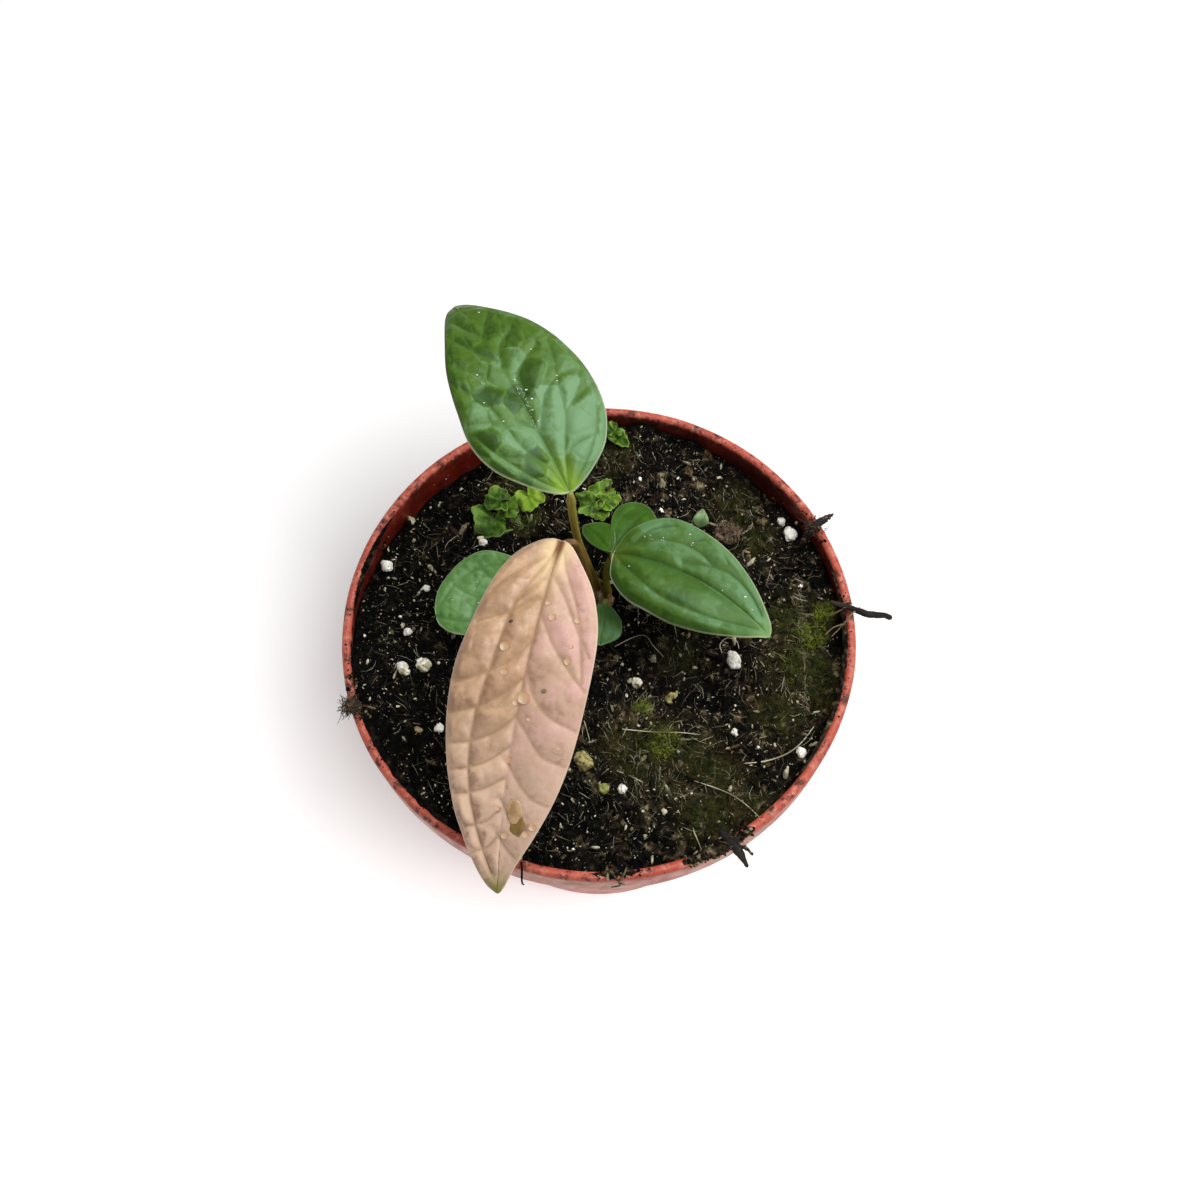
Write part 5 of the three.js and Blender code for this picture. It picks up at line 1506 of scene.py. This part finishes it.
def make_rosettes(paint):
    """The flat weeds, each of lobes on short stems from one root."""
    for name, ((x0, y0), lift, lobes) in WEEDS.items():
        shape = Shape()
        for i, ((dx, dy), direction, reach, spread, tone) in enumerate(lobes):
            hub = (x0 + dx, y0 + dy)
            ground = ground_at(*hub)
            z = ground + lift + 0.22 * ((2 * i) % 5)
            add_lobe(shape, hub, math.radians(direction), reach, spread, z, i + 3, tone)
            stem = [(*hub, z), (x0 + 0.5 * dx, y0 + 0.5 * dy, ground), (x0, y0, ground - 2)]
            add_rod(shape, stem, [0.22, 0.5], 8, 8, edge=0.3, fold=0.5, tone=0.2)
        shape.build(name.replace("liverwort", "weed_rosette"), paint, "weed", [name])


def make_seedling(paint):
    """A seedling of two round leaves."""
    x, y = SEEDLING_AT
    ground = ground_at(x, y)
    shape = Shape()
    stem = [(x, y, ground - 2.5), (x, y, ground), (x, y, ground + 1.3)]
    add_rod(shape, stem, [0.3, 0.25], 10, 10, edge=0.4, fold=0.5, tone=0.0)
    add_lobe(shape, (x + 0.3, y - 0.3), -0.8, 1.9, 1.2, ground + 1.3, 2)
    add_lobe(shape, (x - 0.1, y + 0.3), 2.0, 1.6, 1.0, ground + 1.5, 4)
    shape.build("seedling", paint, "weed", ["seedling_back"])


def make_sprout():
    """A sprout with one upright leaf."""
    x, y = SPROUT_AT
    ground = ground_at(x, y)
    shape = Shape()
    stem = [(x - 0.2, y, ground - 2.5), (x - 0.3, y - 0.4, ground), (x - 0.3, y - 0.9, ground + 1.0)]
    add_rod(shape, stem, [0.3, 0.25], 10, 10, pillow=1.0, share=0.2, rim=1.0)
    rib = [(x - 0.3, y - 1.0, ground + 0.9), (x - 0.2, y - 0.4, ground + 1.9), (x, y + 0.5, ground + 2.3),
           (x + 0.2, y + 1.5, ground + 2.0)]
    Blade(dict(SPROUT, rib=rib)).add_to(shape, 0.16)
    shape.build("sprout", leaf_paint("sprout_leaf", **SPROUT_LOOK), "weed", ["sprout_back"])


def make_weeds():
    """All the weeds. The flat ones and the seedling have the same paint."""
    paint = weed_paint()
    make_rosettes(paint)
    make_seedling(paint)
    make_sprout()


# Grains and scraps

def add_grain(shape, at, size, seed, subdivisions, pits, tone=0.1):
    """A rough pitted grain, turned about the vertical by its seed."""
    points, faces = ball(subdivisions)
    rough = 1 + 0.26 * noise3(points, 0.75, seed) + 0.12 * noise3(points, 0.3, seed + 50)
    rough = rough - pits * np.clip(noise3(points, 0.22, seed + 90) - 0.3, 0, 1)
    body = points * rough[:, None] * np.array(size) / 2
    c, s = math.cos(1.7 * seed), math.sin(1.7 * seed)
    body = body @ np.array([[c, s, 0], [-s, c, 0], [0, 0, 1]]) + at
    shape.add(body, [faces], tone=np.clip(0.5 * noise3(body, 1.0, 7) + tone, 0, 1))


def make_grains():
    """The larger grains of perlite, some of them with smaller lumps grown on, and the granules."""
    for i, ((x, y), size, up) in enumerate(PERLITE, 1):
        shape = Shape()
        z = ground_at(x, y) + up
        add_grain(shape, (x, y, z), size, i, 4, 0.35, STAINED.get(i, 0.1))
        for dx, dy, share in GRAIN_LUMPS.get(i, []):
            add_grain(shape, (x + dx, y + dy, z), np.array(size) * share, i + 39, 3, 0.35)
        node = f"perlite_{i:02d}"
        shape.build(f"grain_{node}", perlite_paint(), "perlite", [node])
    paint = granule_paint()
    for i, (name, ((x, y), size, up)) in enumerate(GRANULES.items(), len(PERLITE) + 1):
        shape = Shape()
        add_grain(shape, (x, y, ground_at(x, y) + up), size, i, 4, 0.5)
        shape.build(f"lump_{name}", paint, "granule", [name])


def add_hairs(shape, rng, at, count, length, spread, radius=0.05, flow=(0, 0, 0)):
    """Root hairs that stick out of a scrap, curled, or drawn along a flow."""
    flat = [1, 1, 0.5]
    for _ in range(count):
        start = np.array(at) + rng.normal(0, 1, 3) * spread
        push = unit(rng.normal(0, 1, 3) * flat + np.array(flow)) * length * rng.uniform(0.4, 1)
        curl = rng.normal(0, 0.22 * length, 3) * flat
        line = [start, start + 0.35 * push + curl, start + 0.75 * push - 0.5 * curl, start + push]
        add_rod(shape, line, [radius, radius, 0.5 * radius], 4, 9, tone=rng.uniform(0.1, 0.95))


def add_litter(shape, rng, points, count):
    """Crumbs stuck on the skin of a scrap."""
    chosen = points[rng.integers(0, len(points), count)]
    sizes = rng.uniform(0.06, 0.26, (count, 3))
    add_crumbs(shape, rng, chosen, sizes, 1, 0.35, tone=rng.uniform(0.1, 1.0, count))


def knotty(share, angle):
    """The knots of a twig, as a share of its radius."""
    return 1 + 0.16 * np.sin(2 * angle + 11 * share) + 0.1 * np.sin(5 * angle - 23 * share)


def make_twig(shape, rng):
    """A root end that lies over the rim at the right, with pale rootlets."""
    line, *rootlets = TWIG_LINES
    add_rod(shape, line, [0.25, 0.36, 0.42, 0.4, 0.44, 0.4], 16, 60, knotty,
            tone=lambda share: np.clip(0.5 - 1.6 * share, 0, 0.32))
    for rootlet in rootlets:
        add_rod(shape, rootlet, [0.13, 0.11, 0.08], 6, 16, tone=1.0)
    add_hairs(shape, rng, (34.2, 3.0, 57.0), 16, 0.9, 0.3, 0.035)


def make_back_bark(shape, rng):
    """A hairy scrap that stands out over the rim at the back right."""
    line = [(28.4, 13.6, 54.3), (30.0, 15.0, 56.6), (31.5, 16.0, 57.2), (32.9, 17.0, 57.0)]
    body = add_rod(shape, line, [0.2, 0.45, 0.6, 0.42, 0.1], 16, 40, knotty,
                   tone=lambda share: np.clip(0.3 - share, 0, 1))
    add_hairs(shape, rng, (30.2, 15.0, 56.6), 40, 1.9, 0.5, 0.045, (0.4, 0.6, 0.1))
    add_litter(shape, rng, body, 24)


def make_left_bark(shape, rng):
    """A tuft of root hairs on the rim at the left."""
    add_grain(shape, (-32.6, -11.4, 56.6), (1.8, 2.4, 1.1), 32, 3, 0.5, 0.3)
    add_hairs(shape, rng, (-32.9, -11.6, 56.9), 90, 2.1, 0.4, 0.05, (-0.5, -0.1, 0.1))
    add_litter(shape, rng, shape.points[0], 60)


def make_clump(shape, rng):
    """A clod of fibres and crumbs on the soil at the back right."""
    middle = (18, 16, ground_at(18.0, 16.0) + 0.5)
    add_grain(shape, middle, (3.5, 3.2, 1.8), 33, 4, 0.5, 0.55)
    add_litter(shape, rng, shape.points[0], 420)
    add_hairs(shape, rng, middle, 70, 1.6, 0.8, 0.04)


def make_front_bark(shape, rng):
    """A forked scrap that hangs over the rim at the front right."""
    line = [(15.6, -28.6, 56.9), (17.2, -30.6, 57.25), (18.2, -32.0, 57.1), (19.0, -33.4, 56.7)]
    fork = [(17.4, -31.0, 57.2), (18.6, -31.0, 57.5), (19.6, -31.8, 57.2)]
    add_rod(shape, line, [0.35, 0.6, 0.5, 0.25], 14, 30, knotty, tone=0.0)
    body = add_rod(shape, fork, [0.3, 0.22, 0.12], 12, 18, knotty, tone=0.0)
    add_hairs(shape, rng, line[1], 26, 1.7, 0.4, 0.045, (0.2, 0.3, 0))
    add_litter(shape, rng, body, 30)


def make_scraps():
    """Bark and roots on the soil and over the rim."""
    paint = bark_paint()
    rng = np.random.default_rng(16)
    for make, name, node in ((make_twig, "scrap_twig", "twig_right"),
                             (make_back_bark, "scrap_bark_back_right", "bark_back_right"),
                             (make_left_bark, "scrap_bark_left", "bark_left"),
                             (make_clump, "scrap_fibre_clump", "fibre_clump"),
                             (make_front_bark, "scrap_bark_front_right", "bark_front_right")):
        shape = Shape()
        make(shape, rng)
        shape.build(name, paint, "bark", [node])


# Soil on the rim

def add_rim_crumbs(shape, rng, direction, width, count, spill):
    """Crumbs scattered over the lip about a direction."""
    angle = np.radians(direction + width * rng.uniform(-1, 1, count))
    out = rng.uniform(-1.7, 0.5 * spill - 0.25, count)
    size = 0.05 + (0.1 + 0.18 * spill) * rng.uniform(0, 1, count) ** 2
    radius = RIM_RADIUS - 0.4 + out
    x, y = radius * np.cos(angle), radius * np.sin(angle)
    lip = POT_HEIGHT - 0.55 * np.clip(np.abs(out + 0.25) / 0.7, 0, 2) ** 2
    z = np.where(out < -1.0, np.maximum(soil_level(x, y), lip - 1.5), lip)
    sizes = size[:, None] * rng.uniform(0.5, 1.3, (count, 3))
    add_crumbs(shape, rng, np.stack([x, y, z + 0.35 * size], -1), sizes, 1, 0.3,
               tone=rng.uniform(0, 0.8, count), moss=0)


def add_rim_spill(shape, start, end, radius, half, bright):
    """A flat ragged ridge of soil along the lip."""
    def ragged(share, turn):
        chunks = noise(70 * share + 0 * turn, np.cos(turn) + start, 4)
        return 1 + 0.35 * chunks + 0.2 * np.sin(3 * turn + 90 * share)

    base = POT_HEIGHT - 0.1
    angle = np.radians(np.linspace(start, end, 10))
    line = np.stack([radius * np.cos(angle), radius * np.sin(angle), np.full(10, base)], -1)
    body, faces, _ = tube(line, [0.3 * half, half, half, 0.3 * half], 12, int(2.2 * (end - start)), ragged)
    body[:, 2] = lerp(base, body[:, 2], 0.5)
    shape.add(body, faces, tone=bright + 0.3 * noise3(body, 0.6, 3), moss=0)


def make_rim_dirt():
    """Crumbs and ridges of soil on the rim, and roots that hang over its front."""
    rng = np.random.default_rng(17)
    shape = Shape()
    for place in RIM_CRUMBS:
        add_rim_crumbs(shape, rng, *place)
    for place in RIM_SPILLS:
        add_rim_spill(shape, *place)
    for bright, radius, points in RIM_ROOTS:
        add_rod(shape, points, [0.8 * radius, radius, 0.6 * radius], 8, 30, tone=bright, moss=0)
    shape.build("rim_dirt", soil_paint(), "soil_mix", sharp=True)


# Water and litter on the leaves

def make_water():
    """Drops on the bronze leaf, with painted light in their colour, and specks of water on the green ones,
    painted white as glints, each seated on its blade.
    """
    blades = {id(spec): Blade(spec) for spec, _ in DROPS}
    drops, glints = Shape(), Shape()
    points, faces = ball(3)
    for i, (spec, u, v, radius) in enumerate((spec, *drop) for spec, places in DROPS for drop in places):
        (at,), (normal,) = blades[id(spec)].top_at([u], [v])
        side = unit(np.cross(normal, [0.3, 1, 0.2]))
        form = 1 + 0.14 * noise3(points, 0.9, i)
        drop = points * form[:, None] * [radius, 0.88 * radius, 0.6 * radius]
        drop[:, 2] = np.maximum(drop[:, 2], -0.12 * radius)
        drop = drop @ np.stack([side, np.cross(normal, side), normal])
        if spec is BRONZE:
            # Painted light on each drop: dark on the side towards the light, bright on the side away from it.
            tone = np.clip(0.45 + 0.62 * (drop / radius) @ unit(np.array(AWAY_FROM_LIGHT)), 0, 1)
            drops.add(drop + at + 0.1 * radius * normal, [faces], tone=tone)
        else:
            glints.add(0.34 * drop * [1.3, 0.8, 0.8] + at, [faces])
    rng = np.random.default_rng(19)
    points, faces = ball(1)
    for spec, start, end, across, count in GLITTER:
        u = rng.uniform(start, end, count)
        v = across + rng.normal(0, 0.16, count)
        at, _ = blades[id(spec)].top_at(u, v)
        sizes = rng.uniform(0.02, 0.06, (count, 1))
        sizes = sizes * rng.uniform([0.5, 0.5, 0.3], [3.0, 1.4, 0.6], (count, 3))
        for turn, size, place in zip(spins(rng, count), sizes, at):
            glints.add((points * size) @ turn.T + place, [faces])
    drops.build("water_drops", water_paint(), "leaf_bronze")
    glints.build("water_glints", glint_paint(), "leaf_green")
    make_pools(blades[id(BRONZE)])
    make_leaf_bits(blades[id(BRONZE)])


def make_pools(blade):
    """Thin flat pools of water that fill the hollows between the veins."""
    film = Shape()
    angle, share = np.meshgrid(round_angles(60), np.linspace(0.05, 1, 8))
    for i, ((u0, v0), size, bright) in enumerate(POOLS):
        uneven = np.sin(2 * angle + 1 + i) + noise(2 * angle, 0 * angle, i + 3)
        r = size * share * (1 + 0.14 * uneven)
        u, v = u0 + r * np.cos(angle), v0 + 0.78 * r * np.sin(angle)
        at, normal = blade.surface(u, v)
        level = np.percentile(blade.relief(u, v)[2], 80) + BLADE_THICKNESS / 2
        rise = 0.1 * np.sqrt(1 - (0.99 * share) ** 4)
        top = at + normal * (level + rise[..., None])
        under = at + normal * (level - 0.4)
        film.add(*skin(np.concatenate([top, under[::-1]])), tone=bright)
    film.build("water_film", water_film_paint(), "leaf_bronze")


def make_leaf_bits(blade):
    """Bits of soil on the bronze leaf."""
    bits = Shape()
    points, faces = ball(2)
    for i, ((u, v), radius, bright) in enumerate(LEAF_BITS):
        (at,), _ = blade.top_at([u], [v])
        rough = 1 + 0.3 * noise3(points, 0.6, i + 5)
        bits.add(radius * points * rough[:, None] * [1, 0.8, 0.6] + at, [faces], tone=bright)
    bits.build("leaf_bits", bark_paint(), "soil_mix")


# Stage

def make_stage():
    """A plain pale floor."""
    mesh = bpy.data.meshes.new("floor")
    s = FLOOR_HALF
    mesh.from_pydata([(-s, -s, 0), (s, -s, 0), (s, s, 0), (-s, s, 0)], [], [(0, 1, 2, 3)])
    floor = bpy.data.objects.new("floor", mesh)
    p = Paint("pale_floor")
    p.base = p.mix(p.noise(40), "#fafafa", "#ffffff")
    mesh.materials.append(p.finish(roughness=0.9, emission_color="#ffffff", emission_strength=0.08))
    bpy.context.scene.collection.objects.link(floor)
    return floor


def add_light(name, toward, distance, size, power, unseen):
    """A square area light that faces the pot from a direction, unseen by one kind of ray or by none."""
    data = bpy.data.lights.new(name, "AREA")
    data.size = size
    data.energy = power
    light = bpy.data.objects.new(name, data)
    x, y, z = unit(np.array(toward)) * distance
    light.location = (x, y, z)
    tilt = math.atan2(math.hypot(x, y), z)
    light.rotation_euler = Euler((tilt, 0, math.atan2(y, x) + math.pi / 2), "XYZ")
    if unseen:
        setattr(light, "visible_" + unseen, False)
    bpy.context.scene.collection.objects.link(light)
    return light


def aim_at(light, floor, state):
    """Keeps a light off the floor, or to the floor alone."""
    group = bpy.data.collections.new(light.name + "_reach")
    group.objects.link(floor)
    group.collection_objects[0].light_linking.link_state = state
    light.light_linking.receiver_collection = group


def make_lights(floor):
    """An even pale world, the lights on the pot, and the one for the floor alone."""
    world = bpy.data.worlds.new("soft_studio")
    world.use_nodes = True
    background = world.node_tree.nodes["Background"]
    background.inputs["Color"].default_value = (1, 1, 1, 1)
    background.inputs["Strength"].default_value = WORLD_STRENGTH
    bpy.context.scene.world = world
    for name, toward, distance, size, power, unseen in LIGHTS:
        light = add_light(name, toward, distance, size, power, unseen)
        aim_at(light, floor, "EXCLUDE" if unseen else "INCLUDE")
    bpy.context.scene.view_settings.view_transform = "Standard"


def make_camera():
    data = bpy.data.cameras.new("camera")
    data.lens = CAMERA_LENS
    data.clip_start = 0.01
    camera = bpy.data.objects.new("camera", data)
    camera.location = np.array(CAMERA_AT) * MM
    camera.rotation_euler = Euler((math.radians(90 - CAMERA_ELEVATION), 0, 0), "XYZ")
    bpy.context.scene.collection.objects.link(camera)
    bpy.context.scene.camera = camera


make_camera()
make_lights(make_stage())
make_pot()
make_soil()
make_crumbs()
make_specks()
make_fibres()
make_moss()
make_crown()
make_stalks()
make_leaves()
make_weeds()
make_grains()
make_scraps()
make_rim_dirt()
make_water()
